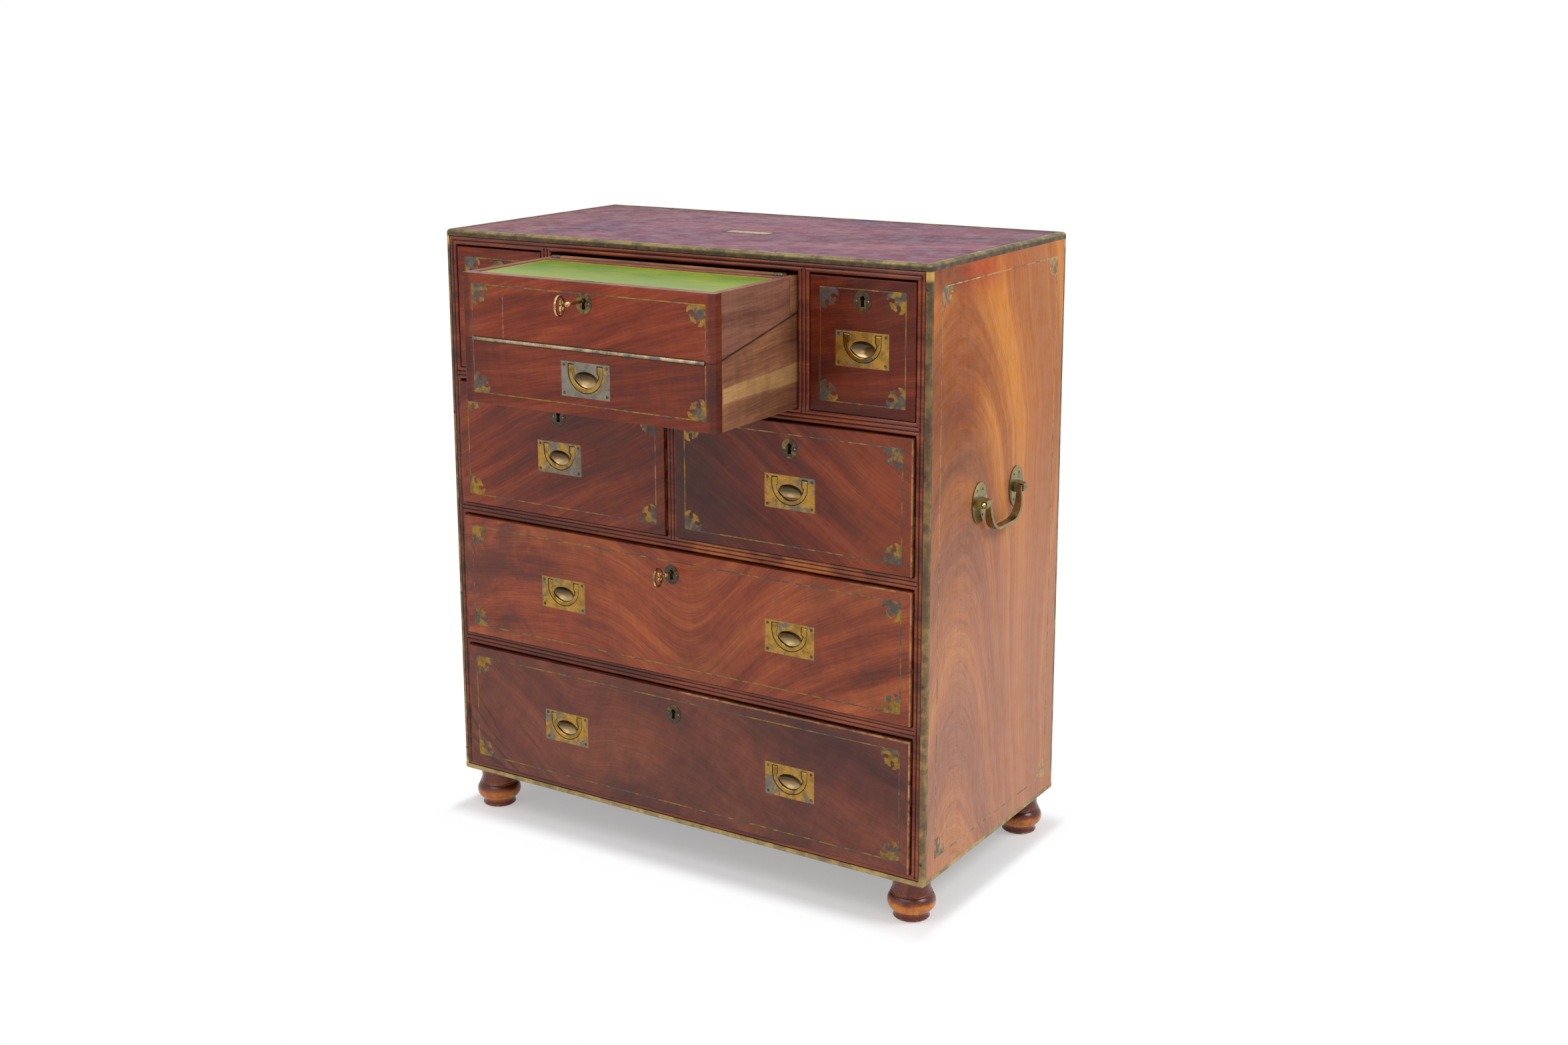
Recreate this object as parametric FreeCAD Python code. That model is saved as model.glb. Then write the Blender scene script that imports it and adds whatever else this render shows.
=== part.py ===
# Campaign chest: a mahogany chest of seven drawers on bun feet, bound in brass. The middle of the top
# row is a writing box that slides out like a drawer and whose upper half is hinged along its front.
# Millimetres, +Z up. The origin is on the floor under the middle of the carcass; the drawers face -Y.
import FreeCAD, Part

import math
import os

V = FreeCAD.Vector
X, Y, Z = V(1, 0, 0), V(0, 1, 0), V(0, 0, 1)

# --- carcass ---
CARCASS_WIDTH = 900.0
CARCASS_DEPTH = 464.0
FOOT_HEIGHT = 68.0
SIDE_THICK = 22.0
TOP_THICK = 24.5
BOTTOM_THICK = 18.5
RAIL_THICK = 20.0
UPRIGHT_THICK = 20.0
BACK_THICK = 10.0
BACK_INSET = 2.0
BACK_BOARDS = 6
BACK_JOINT = 1.5  # the V where two back boards meet
ROW_HEIGHTS = [205.0, 210.0, 210.0, 214.0]  # drawer openings, from the top row down
SMALL_OPENING = 178.0  # width of the two small openings in the top row

# --- brass binding ---
BRASS_THICK = 3.0
TOP_EDGING_FALL = 10.5
TOP_EDGING_WIDTH = 10.0
TOP_EDGING_PROUD = 0.6
BASE_EDGING_RISE = 9.0
BASE_EDGING_WIDTH = 9.0
BINDING_FRONT = 8.0
BINDING_SIDE = 10.0
EDGING_RADIUS = 6.0
BASE_RADIUS = 4.0
BINDING_RADIUS = 6.0

# --- reeded mouldings ---
REED_RISE = 3.4
REED_VALLEY = 1.0
RAIL_REEDS = 3
FRAME_REEDS = 2
BASE_REEDS = 1

# --- bun feet ---
FOOT_INSET = 41.0
FOOT_RIM_R = 33.0
FOOT_NECK_R = 29.2
FOOT_NECK_HEIGHT = 50.0
FOOT_BEAD_R = 32.4
FOOT_BEAD = 3.0
FOOT_BULB_R = 37.5
FOOT_BULB_END_R = 31.0  # radius where the bulb starts and ends
FOOT_BULB_SPAN = 25.6
FOOT_BULB_HEIGHT = 26.2  # of its widest part
FOOT_WAIST_R = 27.8
FOOT_WAIST_HEIGHT = 8.0
FOOT_BASE_R = 28.4
FOOT_BEVEL = 1.6
FOOT_DOWEL_R = 12.0
FOOT_DOWEL_LENGTH = 12.0
DOWEL_CLEARANCE = 0.2

# --- bare plate inlaid in the top ---
NAME_PLATE_LENGTH = 78.0
NAME_PLATE_WIDTH = 24.0
NAME_PLATE_CLIP = 3.0
NAME_PLATE_THICK = 1.2
NAME_PLATE_PROUD = 0.2
NAME_PLATE_X = 12.0
NAME_PLATE_Y = -24.0

# --- drawers ---
DRAWER_BACK_GAP = 32.0
FRONT_THICK = 20.0
FRONT_EDGE_RADIUS = 1.0
FRONT_TOP_GAP = 3.0
FRONT_BOTTOM_GAP = 0.8
DRAWER_PROUD = 5.0
SMALL_DRAWER_PROUD = -1.0
DRAWER_SIDE_GAP = 1.2
BOX_WALL = 10.0
TAILS = 4  # dovetails at each end of a drawer side
TAIL_WIDTH = 28.0
TAIL_FLARE = 3.0  # how much wider each side of a tail is at its tip
FRONT_LAP = 5.0  # wood left in front of the tails
BOX_FALL = 14.0  # how far the box sides stay below the top of the opening
RUN_GAP = 0.3
PANEL_THICK = 6.0
PANEL_RAISE = 6.0
PANEL_HOUSING = 4.0

# --- flush handles ---
PLATE_WIDTH = 88.5
PLATE_HEIGHT = 52.5
PLATE_THICK = 2.0
HOUSING_MARGIN = 2.5
HOUSING_TOP_GAP = 1.0
HOUSING_DEPTH = 9.8
HOUSING_CLEARANCE = 0.2
BAIL_WIDTH = 63.0
BAIL_HEIGHT = 42.0
BAIL_TOP_GAP = 3.6  # from the plate's upper edge down to the bail
BAIL_LEG = 10.0
BAIL_BOW = 7.0
BAIL_LEG_LENGTH = 11.5
BAIL_THICK = 5.6
BAIL_SET_IN = 0.3
BAIL_CLEARANCE = 0.5
BAIL_CHAMFER = 0.8
BAIL_PIN_R = 1.3
BAIL_PIN_CLEARANCE = 0.08
CUP_HALF_WIDTH = 23.0
CUP_HALF_HEIGHT = 14.5
CUP_DEPTH = 8.3
CUP_DROP = 27.5  # from the plate's upper edge to the cup's middle
HANDLE_DROP = 4.7  # handle centre below the middle of its opening
HANDLE_SPREAD = 218.0  # handle centres from the chest's middle on the wide drawers

# --- locks and keys ---
LOCK_ABOVE_HANDLE = 68.5
SMALL_LOCK_ABOVE_HANDLE = 71.0
ESCUTCHEON_HALF_WIDTH = 14.0
ESCUTCHEON_HALF_HEIGHT = 15.5
ESCUTCHEON_THICK = 1.5
ESCUTCHEON_PROUD = 0.4
KEY_RISE = 4.0  # key axis above the escutcheon's middle
KEYHOLE_R = 3.8
KEYHOLE_FOOT = 8.3
KEYHOLE_TOP_WIDTH = 4.4
KEYHOLE_FOOT_WIDTH = 6.6
CASE_HALF_WIDTH = 30.0
CASE_BELOW = 18.0
CASE_DEPTH = 9.5
CASE_WALL = 1.5
CASE_CLEARANCE = 0.2
SELVEDGE_HALF_WIDTH = 36.0
SELVEDGE_THICK = 2.5
BOLT_HALF_WIDTH = 11.0
BOLT_HEIGHT = 14.0
BOLT_THICK = 4.6
BOLT_CLEARANCE = 0.3
MORTISE_DEPTH = 12.0
MORTISE_CLEARANCE = 1.0
KEY_SHANK_R = 2.3
KEY_COLLAR_R = 3.8
KEY_BALL_R = 3.1
KEY_COLLAR_LENGTH = 6.0
KEY_COLLAR_WAIST_R = 2.8
KEY_BIT_REACH = 8.0
KEY_BIT_LENGTH = 4.0
KEY_BIT_THICK = 2.4
KEY_BOW_HALF_LENGTH = 11.0
KEY_BOW_HALF_WIDTH = 15.5
KEY_BOW_RIM = 2.8
KEY_BOW_THICK = 3.2
KEY_SCROLL_R = 5.0
KEY_SCROLL_RIM = 2.2
KEY_SCROLL_LAP = 0.4
KEY_BAND_R = 2.2
KEY_BAND_LENGTH = 1.4
KEY_BAND_SPREAD = 1.6
WRITING_KEY_EXPOSED = 34.0
LOWER_KEY_EXPOSED = 14.0
KEY_SOCKET_CLEARANCE = 0.08
KEY_SOCKET_DEPTH = 1.0

# --- writing box ---
WRITING_PULL = 215.0  # how far it stands out at rest
WRITING_SIDE_GAP = 2.0
WRITING_TOP_GAP = 6.7
WRITING_FRONT_THICK = 16.0
WRITING_WALL = 13.0
WRITING_PANEL = 7.0
SEAM_HEIGHT = 99.0
SEAM_ANGLE = 11.5
SEAM_GAP = 0.6
LID_LENGTH = 196.0
LID_REAR_GAP = 1.0
LID_REAR_WALL = 12.0
LID_TOP_THICK = 7.0
BAR_THICK = 12.0
BAR_RISE = 3.5
BAR_RADIUS = 2.0
LEATHER_THICK = 1.5
LEATHER_SINK = 2.0
WRITING_HANDLE_HEIGHT = 54.0
WRITING_LOCK_DROP = 31.0
HINGE_END_GAP = 17.0
HINGE_KNUCKLES = 13
HINGE_BARREL_R = 3.0
HINGE_PIN_R = 1.2
HINGE_PIN_CLEARANCE = 0.08
HINGE_CLEARANCE = 0.3
HINGE_LEAF_THICK = 1.2
HINGE_LEAF_DEPTH = 13.0

# --- side handles ---
SIDE_PLATE_HALF_WIDTH = 24.5
SIDE_PLATE_HALF_HEIGHT = 32.0
SIDE_PLATE_THICK = 2.0
SIDE_HANDLE_HEIGHT = 562.0  # post centres above the carcass's underside
SIDE_POST_SPREAD = 63.5
SIDE_POST_BASE = 17.0
SIDE_POST_WAIST = 12.0
SIDE_POST_LENGTH = 17.0
SIDE_POST_POINT = 4.0
SIDE_POST_NOSE = 2.0
SIDE_PIVOT_OUT = 12.0
SIDE_HANDLE_Y = -4.5
SIDE_BAIL_SPREAD = 55.0  # half the bail's outer width
SIDE_BAIL_THICK = 4.5
SIDE_BAIL_DROP = 48.0
SIDE_BAIL_BEND = 34.0
SIDE_BAIL_EYE = 4.5
SIDE_BAIL_END_WIDTH = 8.0
SIDE_BAIL_MIDDLE_WIDTH = 13.0
SIDE_BAIL_PIN_R = 2.5
SIDE_BAIL_PIN_CLEARANCE = 0.08
SIDE_BAIL_KNOB_R = 4.0
SIDE_BAIL_KNOB_LENGTH = 6.0

# --- places worked out from the sizes ---
CARCASS_HEIGHT = TOP_THICK + sum(ROW_HEIGHTS) + (len(ROW_HEIGHTS) - 1) * RAIL_THICK + BOTTOM_THICK
X_OUT = CARCASS_WIDTH / 2
X_IN = X_OUT - SIDE_THICK
Y_OUT = CARCASS_DEPTH / 2
Y_EDGE = -Y_OUT + BRASS_THICK  # front edges of the boards
Y_BACK = Y_OUT - BACK_INSET - BACK_THICK  # inner face of the back
Z_BASE = FOOT_HEIGHT
Z_TOP = Z_BASE + CARCASS_HEIGHT
UPRIGHT_X = X_IN - SMALL_OPENING - UPRIGHT_THICK / 2
SEAM_SLOPE = math.tan(math.radians(SEAM_ANGLE))
WRITING_HEIGHT = ROW_HEIGHTS[0] - RUN_GAP - WRITING_TOP_GAP
WRITING_WIDTH = 2 * (UPRIGHT_X - UPRIGHT_THICK / 2 - WRITING_SIDE_GAP)
HINGE_LENGTH = WRITING_WIDTH - 2 * HINGE_END_GAP
DRAWER_END = Y_BACK - DRAWER_BACK_GAP  # back of every closed drawer


def row_span(row):
    """Lowest and highest Z of a row's opening, counted from the top row, 0."""
    top = Z_TOP - TOP_THICK - sum(ROW_HEIGHTS[:row]) - row * RAIL_THICK
    return top - ROW_HEIGHTS[row], top


def box(x0, x1, y0, y1, z0, z1):
    return Part.makeBox(x1 - x0, y1 - y0, z1 - z0, V(x0, y0, z0))


def polygon(points):
    return Part.Face(Part.makePolygon(points + points[:1]))


def prism_xz(points, y0, y1):
    return polygon([V(x, y0, z) for x, z in points]).extrude(V(0, y1 - y0, 0))


def prism_yz(points, x0, x1):
    return polygon([V(x0, y, z) for y, z in points]).extrude(V(x1 - x0, 0, 0))


def prism_xy(points, z0, z1):
    return polygon([V(x, y, z0) for x, y in points]).extrude(V(0, 0, z1 - z0))


def cylinder(radius, start, end):
    return Part.makeCylinder(radius, (end - start).Length, start, end - start)


def ellipse_disc(half_width, half_height, normal, centre, thickness):
    """An elliptical plate; its width runs along X for a plate facing Y, and along Y for one facing X."""
    across = X if abs(normal.y) > 0.5 else Y
    if half_width >= half_height:
        major, minor, first, second = half_width, half_height, across, Z
    else:
        major, minor, first, second = half_height, half_width, Z, across
    curve = Part.Ellipse(centre + first * major, centre + second * minor, centre)
    return Part.Face(Part.Wire(curve.toShape())).extrude(normal * thickness)


def moved(shape, x=0.0, y=0.0, z=0.0):
    copy = shape.copy()
    copy.translate(V(x, y, z))
    return copy


def mirrored(shape):
    """The same piece on the other side of the chest."""
    return shape.mirror(V(0, 0, 0), X)


def edges_where(shape, test):
    return [e for e in shape.Edges if test(e)]


def along(edge, axis):
    """True for a straight edge that runs along the axis."""
    if not isinstance(edge.Curve, Part.Line):
        return False
    return abs(abs(edge.Curve.Direction.dot(axis)) - 1) < 1e-6


def save(name, solids):
    solids = [s for shape in solids for s in shape.Solids]
    bad = [s for s in solids if not s.isValid()]
    litres = sum(s.Volume for s in solids) / 1e6
    print(f"{name:22s} {len(solids):3d} solids, {litres:7.4f} litres", "BAD" if bad else "")
    Part.makeCompound(solids).exportStep(f"parts/{name}.step")


# --- carcass -----------------------------------------------------------------------------------------


def edging_ring(z_face, z_lip, width):
    """A square ring of brass angle round the carcass: it covers z_face, and laps onto the sides to z_lip."""
    up = 1 if z_face > z_lip else -1
    low, high = min(z_face, z_lip), max(z_face, z_lip)
    inner = z_face - up * BRASS_THICK
    ring = box(-X_OUT, X_OUT, -Y_OUT, Y_OUT, low, high)
    core_x, core_y = X_OUT - BRASS_THICK, Y_OUT - BRASS_THICK
    ring = ring.cut(box(-core_x, core_x, -core_y, core_y, min(inner, z_lip), max(inner, z_lip)))
    open_x, open_y = X_OUT - width, Y_OUT - width
    return ring.cut(box(-open_x, open_x, -open_y, open_y, low, high))


def rounded_ring(ring, z_face, radius):
    """Rounds the ring's outer corners and its outer edges on z_face, and cuts it into four mitred strips."""

    def outer(edge):
        box_of = edge.BoundBox
        centre = box_of.Center
        on_side = abs(abs(centre.x) - X_OUT) < 1e-6 or abs(abs(centre.y) - Y_OUT) < 1e-6
        corner = along(edge, Z) and abs(abs(centre.x) - X_OUT) < 1e-6 and abs(abs(centre.y) - Y_OUT) < 1e-6
        rim = abs(centre.z - z_face) < 1e-6 and on_side
        return corner or rim

    ring = ring.makeFillet(radius, edges_where(ring, outer))
    reach = Y_OUT + 1
    far = X_OUT + 1
    low, high = ring.BoundBox.ZMin - 1, ring.BoundBox.ZMax + 1
    front = prism_xy([(-far, -reach), (far, -reach), (far - reach, 0), (reach - far, 0)], low, high)
    right = prism_xy([(far, -reach), (far, reach), (far - reach, 0)], low, high)
    strips = []
    for wedge in (front, front.mirror(V(0, 0, 0), Y), right, mirrored(right)):
        strips += ring.common(wedge).Solids
    return strips


def corner_angle(front, z0, z1):
    """The brass angle on the right front or right back corner."""
    way = -1 if front else 1
    y_face, y_inner = way * Y_OUT, way * (Y_OUT - BRASS_THICK)
    y_lip = way * (Y_OUT - BINDING_SIDE)
    outer = box(X_OUT - BINDING_FRONT, X_OUT, min(y_face, y_lip), max(y_face, y_lip), z0, z1)
    core = box(X_OUT - BINDING_FRONT, X_OUT - BRASS_THICK, min(y_inner, y_lip), max(y_inner, y_lip), z0, z1)
    return outer.cut(core)


def corner_angles():
    z0, z1 = Z_BASE + BASE_EDGING_RISE, Z_TOP - TOP_EDGING_FALL
    right = [corner_angle(front, z0, z1) for front in (True, False)]
    return right + [mirrored(angle) for angle in right]


def rounded_angle(angle):
    def arris(edge):
        centre = edge.BoundBox.Center
        return along(edge, Z) and abs(abs(centre.x) - X_OUT) < 1e-6 and abs(abs(centre.y) - Y_OUT) < 1e-6

    return angle.makeFillet(BINDING_RADIUS, edges_where(angle, arris))


def mortise(x, y_front, z, thickness):
    """The pocket above a drawer's lock that its bolt shoots into; z is the underside of the board."""
    y1 = y_front + thickness - CASE_WALL - BOLT_CLEARANCE + MORTISE_CLEARANCE
    y0 = y1 - BOLT_THICK - 2 * MORTISE_CLEARANCE
    half = BOLT_HALF_WIDTH + MORTISE_CLEARANCE
    return box(x - half, x + half, y0, y1, z, z + MORTISE_DEPTH)


def reeds(count, width, length):
    """A strip of half-round reeds on a flat base: width along X, length along Z, its back on Y = 0."""
    pitch = width / count
    points = [V(0, 0, 0), V(0, -REED_VALLEY, 0)]
    edges = [Part.LineSegment(points[0], points[1]).toShape()]
    for i in range(count):
        start, end = V(i * pitch, -REED_VALLEY, 0), V((i + 1) * pitch, -REED_VALLEY, 0)
        crown = V((i + 0.5) * pitch, -REED_RISE, 0)
        edges.append(Part.Arc(start, crown, end).toShape())
    edges.append(Part.LineSegment(V(width, -REED_VALLEY, 0), V(width, 0, 0)).toShape())
    edges.append(Part.LineSegment(V(width, 0, 0), V(0, 0, 0)).toShape())
    return Part.Face(Part.Wire(edges)).extrude(V(0, 0, length))


def upright_strip(count, x0, x1, z0, z1):
    return moved(reeds(count, x1 - x0, z1 - z0), x0, Y_EDGE, z0)


def level_strip(count, x0, x1, z0, z1):
    strip = reeds(count, z1 - z0, x1 - x0)
    strip.rotate(V(0, 0, 0), Y, 90)
    return moved(strip, x0, Y_EDGE, z1)


def mouldings():
    """Frame strips mitred at the corners, and rail and upright strips pointed into their neighbours."""
    x_edge, z_low, z_high = X_OUT - BINDING_FRONT, Z_BASE + BASE_EDGING_RISE, Z_TOP - TOP_EDGING_FALL
    in_low, in_high = Z_BASE + BOTTOM_THICK, Z_TOP - TOP_THICK
    y0, y1 = Y_EDGE - 2 * REED_RISE, Y_EDGE + REED_RISE
    outer = [(-x_edge, z_low), (x_edge, z_low), (x_edge, z_high), (-x_edge, z_high)]
    inner = [(-X_IN, in_low), (X_IN, in_low), (X_IN, in_high), (-X_IN, in_high)]
    mitres = [prism_xz([outer[i - 1], outer[i], inner[i], inner[i - 1]], y0, y1) for i in range(4)]
    _, base_mitre, right_mitre, top_mitre = mitres
    right = upright_strip(FRAME_REEDS, X_IN, x_edge, z_low, z_high).common(right_mitre)
    top = level_strip(FRAME_REEDS, -x_edge, x_edge, in_high, z_high).common(top_mitre)
    base = level_strip(BASE_REEDS, -x_edge, x_edge, z_low, in_low).common(base_mitre)

    point = (x_edge - X_IN) / FRAME_REEDS
    rail_spans = [(row_span(row)[0] - RAIL_THICK, row_span(row)[0]) for row in range(len(ROW_HEIGHTS) - 1)]
    rails, arrows = [], []
    for z0, z1 in rail_spans:
        middle, tip = (z0 + z1) / 2, X_IN + point
        outline = [(-X_IN, z0), (X_IN, z0), (tip, middle), (X_IN, z1), (-X_IN, z1), (-tip, middle)]
        arrow = prism_xz(outline, y0, y1)
        strip = level_strip(RAIL_REEDS, -X_IN - point, X_IN + point, z0, z1)
        rails.append(strip.common(arrow))
        arrows.append(arrow)

    uprights = []
    half, rail_point = UPRIGHT_THICK / 2, RAIL_THICK / RAIL_REEDS
    for x, row in ((-UPRIGHT_X, 0), (UPRIGHT_X, 0), (0.0, 1)):
        z0, z1 = row_span(row)
        above = point if row == 0 else rail_point
        outline = [(x - half, z0), (x, z0 - rail_point), (x + half, z0)]
        outline += [(x + half, z1), (x, z1 + above), (x - half, z1)]
        arrow = prism_xz(outline, y0, y1)
        strip = upright_strip(RAIL_REEDS, x - half, x + half, z0 - rail_point, z1 + above)
        uprights.append(strip.common(arrow))
        rails = [rail.cut(arrow) for rail in rails]
        top = top.cut(arrow)
    for arrow in arrows:
        right = right.cut(arrow)
    return [right, mirrored(right), top, base] + rails + uprights


def foot():
    """One turned foot under the origin: a hollow neck, a fine bead, the bulb and a waisted base."""
    top = FOOT_HEIGHT
    dowel_top = top + FOOT_DOWEL_LENGTH
    bead = FOOT_BULB_HEIGHT + FOOT_BULB_SPAN / 2
    toe, heel = V(FOOT_BASE_R - FOOT_BEVEL, 0, 0), V(FOOT_BASE_R, 0, FOOT_BEVEL)
    waist, under_bulb = V(FOOT_WAIST_R, 0, FOOT_WAIST_HEIGHT), V(FOOT_BULB_END_R, 0, bead - FOOT_BULB_SPAN)
    under_bead, over_bead = V(FOOT_BULB_END_R, 0, bead), V(FOOT_BULB_END_R, 0, bead + FOOT_BEAD)
    rim, root = V(FOOT_RIM_R, 0, top), V(FOOT_DOWEL_R, 0, top)
    outline = [
        Part.LineSegment(V(0, 0, 0), toe),
        Part.LineSegment(toe, heel),
        Part.Arc(heel, waist, under_bulb),
        Part.Arc(under_bulb, V(FOOT_BULB_R, 0, FOOT_BULB_HEIGHT), under_bead),
        Part.Arc(under_bead, V(FOOT_BEAD_R, 0, bead + FOOT_BEAD / 2), over_bead),
        Part.Arc(over_bead, V(FOOT_NECK_R, 0, FOOT_NECK_HEIGHT), rim),
        Part.LineSegment(rim, root),
        Part.LineSegment(root, V(FOOT_DOWEL_R, 0, dowel_top)),
        Part.LineSegment(V(FOOT_DOWEL_R, 0, dowel_top), V(0, 0, dowel_top)),
        Part.LineSegment(V(0, 0, dowel_top), V(0, 0, 0)),
    ]
    return Part.Face(Part.Wire([line.toShape() for line in outline])).revolve(V(0, 0, 0), Z, 360)


def foot_places():
    x, y = X_OUT - FOOT_INSET, Y_OUT - FOOT_INSET
    return [(sx * x, sy * y) for sx in (-1, 1) for sy in (-1, 1)]


def name_plate():
    """The bare plate let into the top, with clipped corners."""
    x, y, clip = NAME_PLATE_LENGTH / 2, NAME_PLATE_WIDTH / 2, NAME_PLATE_CLIP
    outline = [(clip - x, -y), (x - clip, -y), (x, clip - y), (x, y - clip)]
    outline += [(x - clip, y), (clip - x, y), (-x, y - clip), (-x, clip - y)]
    z = Z_TOP - TOP_EDGING_PROUD - NAME_PLATE_THICK + NAME_PLATE_PROUD
    return moved(prism_xy(outline, z, z + NAME_PLATE_THICK), NAME_PLATE_X, NAME_PLATE_Y)


def back_panel(z0, z1):
    """Upright boards glued edge to edge, with a V cut along each joint."""
    face = Y_BACK + BACK_THICK
    joints = []
    for n in range(1, BACK_BOARDS):
        x = X_IN * (2 * n / BACK_BOARDS - 1)
        outline = [(x - BACK_JOINT, face), (x + BACK_JOINT, face), (x, face - BACK_JOINT)]
        joints.append(prism_xy(outline, z0, z1))
    return box(-X_IN, X_IN, Y_BACK, face, z0, z1).cut(joints)


def carcass(locks):
    """The boards, trim and feet. locks lists, per drawer, where its bolt meets the board above it."""
    top_ring = edging_ring(Z_TOP, Z_TOP - TOP_EDGING_FALL, TOP_EDGING_WIDTH)
    base_ring = edging_ring(Z_BASE, Z_BASE + BASE_EDGING_RISE, BASE_EDGING_WIDTH)
    angles = corner_angles()
    mortises = [mortise(*lock) for lock in locks]

    top_x, bottom_x = X_OUT - TOP_EDGING_WIDTH, X_OUT - BASE_EDGING_WIDTH  # ends, lapped by the sides
    in_low, in_high = Z_BASE + BOTTOM_THICK, Z_TOP - TOP_THICK
    top = box(-top_x, top_x, Y_EDGE, Y_OUT, in_high, Z_TOP - TOP_EDGING_PROUD)
    top = top.cut([top_ring, name_plate()] + angles + mortises)
    bottom = box(-bottom_x, bottom_x, Y_EDGE, Y_OUT, Z_BASE, in_low)
    dowel_r = FOOT_DOWEL_R + DOWEL_CLEARANCE
    dowel_top = FOOT_DOWEL_LENGTH + DOWEL_CLEARANCE
    dowels = [Part.makeCylinder(dowel_r, dowel_top, V(x, y, Z_BASE)) for x, y in foot_places()]
    bottom = bottom.cut([base_ring] + angles + dowels)
    laps = [box(bottom_x, X_OUT, Y_EDGE, Y_OUT, Z_BASE, in_low)]
    laps.append(box(top_x, X_OUT, Y_EDGE, Y_OUT, in_high, Z_TOP))
    side = box(X_IN, X_OUT, Y_EDGE, Y_OUT, in_low, in_high).fuse(laps).removeSplitter()
    side = side.cut([top_ring, base_ring] + angles)
    rails = []
    for row in range(len(ROW_HEIGHTS) - 1):
        z = row_span(row)[0]
        rails.append(box(-X_IN, X_IN, Y_EDGE, Y_BACK, z - RAIL_THICK, z).cut(mortises))
    half = UPRIGHT_THICK / 2
    uprights = []
    for x, row in ((-UPRIGHT_X, 0), (UPRIGHT_X, 0), (0.0, 1)):
        uprights.append(box(x - half, x + half, Y_EDGE, Y_BACK, *row_span(row)))

    save("side_boards", [side, mirrored(side)])
    save("top_board", [top])
    save("bottom_board", [bottom])
    save("back_panel", [back_panel(in_low, in_high)])
    save("drawer_rails", rails)
    save("uprights", uprights)
    save("reeded_mouldings", mouldings())
    edgings = rounded_ring(top_ring, Z_TOP, EDGING_RADIUS) + rounded_ring(base_ring, Z_BASE, BASE_RADIUS)
    save("brass_edgings", edgings)
    save("corner_bindings", [rounded_angle(angle) for angle in angles])
    save("bun_feet", [moved(foot(), x, y) for x, y in foot_places()])
    save("name_plate", [name_plate()])


# --- side handles ------------------------------------------------------------------------------------


def side_post():
    """Plate and faceted post of the right-hand handle, at the origin on the side's face, facing +X."""
    plate = ellipse_disc(SIDE_PLATE_HALF_WIDTH, SIDE_PLATE_HALF_HEIGHT, X, V(0, 0, 0), SIDE_PLATE_THICK)

    def square(x, width):
        half = width / 2
        corners = [V(x, -half, -half), V(x, half, -half), V(x, half, half), V(x, -half, half)]
        return Part.makePolygon(corners + corners[:1])

    neck = square(SIDE_POST_LENGTH, SIDE_POST_WAIST)
    shaft = Part.makeLoft([square(0, SIDE_POST_BASE), neck], True, True)
    tip = Part.makeLoft([neck, square(SIDE_POST_LENGTH + SIDE_POST_POINT, SIDE_POST_NOSE)], True, True)
    hole_r = SIDE_BAIL_PIN_R + SIDE_BAIL_PIN_CLEARANCE
    hole = cylinder(hole_r, V(SIDE_PIVOT_OUT, -SIDE_POST_BASE, 0), V(SIDE_PIVOT_OUT, SIDE_POST_BASE, 0))
    return plate.fuse([shaft, tip]).removeSplitter().cut(hole)


def bail_profile(inset):
    """The U of the drop bail in the Y-Z plane at X = 0, its pivot line through the origin."""
    half, drop = SIDE_BAIL_SPREAD - inset, SIDE_BAIL_DROP - inset
    bend = SIDE_BAIL_BEND - inset
    knee = bend * (1 - math.sqrt(0.5))
    top = SIDE_BAIL_EYE + 10 * inset
    lines = [
        Part.LineSegment(V(0, -half, top), V(0, -half, bend - drop)),
        Part.Arc(V(0, -half, bend - drop), V(0, knee - half, knee - drop), V(0, bend - half, -drop)),
        Part.LineSegment(V(0, bend - half, -drop), V(0, half - bend, -drop)),
        Part.Arc(V(0, half - bend, -drop), V(0, half - knee, knee - drop), V(0, half, bend - drop)),
        Part.LineSegment(V(0, half, bend - drop), V(0, half, top)),
        Part.LineSegment(V(0, half, top), V(0, -half, top)),
    ]
    return Part.Face(Part.Wire([line.toShape() for line in lines]))


def side_bail():
    """The right-hand drop bail: a strap that widens towards its grip, with a pin and a knob at each end."""
    end, middle = SIDE_BAIL_END_WIDTH / 2, SIDE_BAIL_MIDDLE_WIDTH / 2
    strap = bail_profile(0.0).cut(bail_profile(SIDE_BAIL_THICK)).extrude(V(2 * middle, 0, 0))
    strap.translate(V(-middle, 0, 0))
    flare = -0.7 * SIDE_BAIL_DROP
    outline = [(end, SIDE_BAIL_EYE), (end, -SIDE_BAIL_EYE), (middle, flare), (middle, -SIDE_BAIL_DROP)]
    outline += [(-x, z) for x, z in reversed(outline)]
    strap = strap.common(prism_xz(outline, -SIDE_BAIL_SPREAD, SIDE_BAIL_SPREAD))
    pieces = []
    for way in (-1, 1):
        start = way * (SIDE_BAIL_SPREAD - SIDE_BAIL_THICK / 2)
        outer = SIDE_POST_SPREAD + SIDE_POST_BASE / 2
        pieces.append(cylinder(SIDE_BAIL_PIN_R, V(0, start, 0), V(0, way * (outer + 1), 0)))
        knob = Part.makeCone(SIDE_BAIL_KNOB_R, 1.0, SIDE_BAIL_KNOB_LENGTH, V(0, way * outer, 0), V(0, way, 0))
        pieces.append(knob)
    return strap.fuse(pieces)


def side_handles():
    z = Z_BASE + SIDE_HANDLE_HEIGHT
    post = side_post()
    posts = [moved(post, X_OUT, SIDE_HANDLE_Y + way * SIDE_POST_SPREAD, z) for way in (-1, 1)]
    save("side_handle_plates", posts + [mirrored(p) for p in posts])
    bail = moved(side_bail(), X_OUT + SIDE_PIVOT_OUT, SIDE_HANDLE_Y, z)
    save("side_bail_right", [bail])
    save("side_bail_left", [mirrored(bail)])


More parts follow.
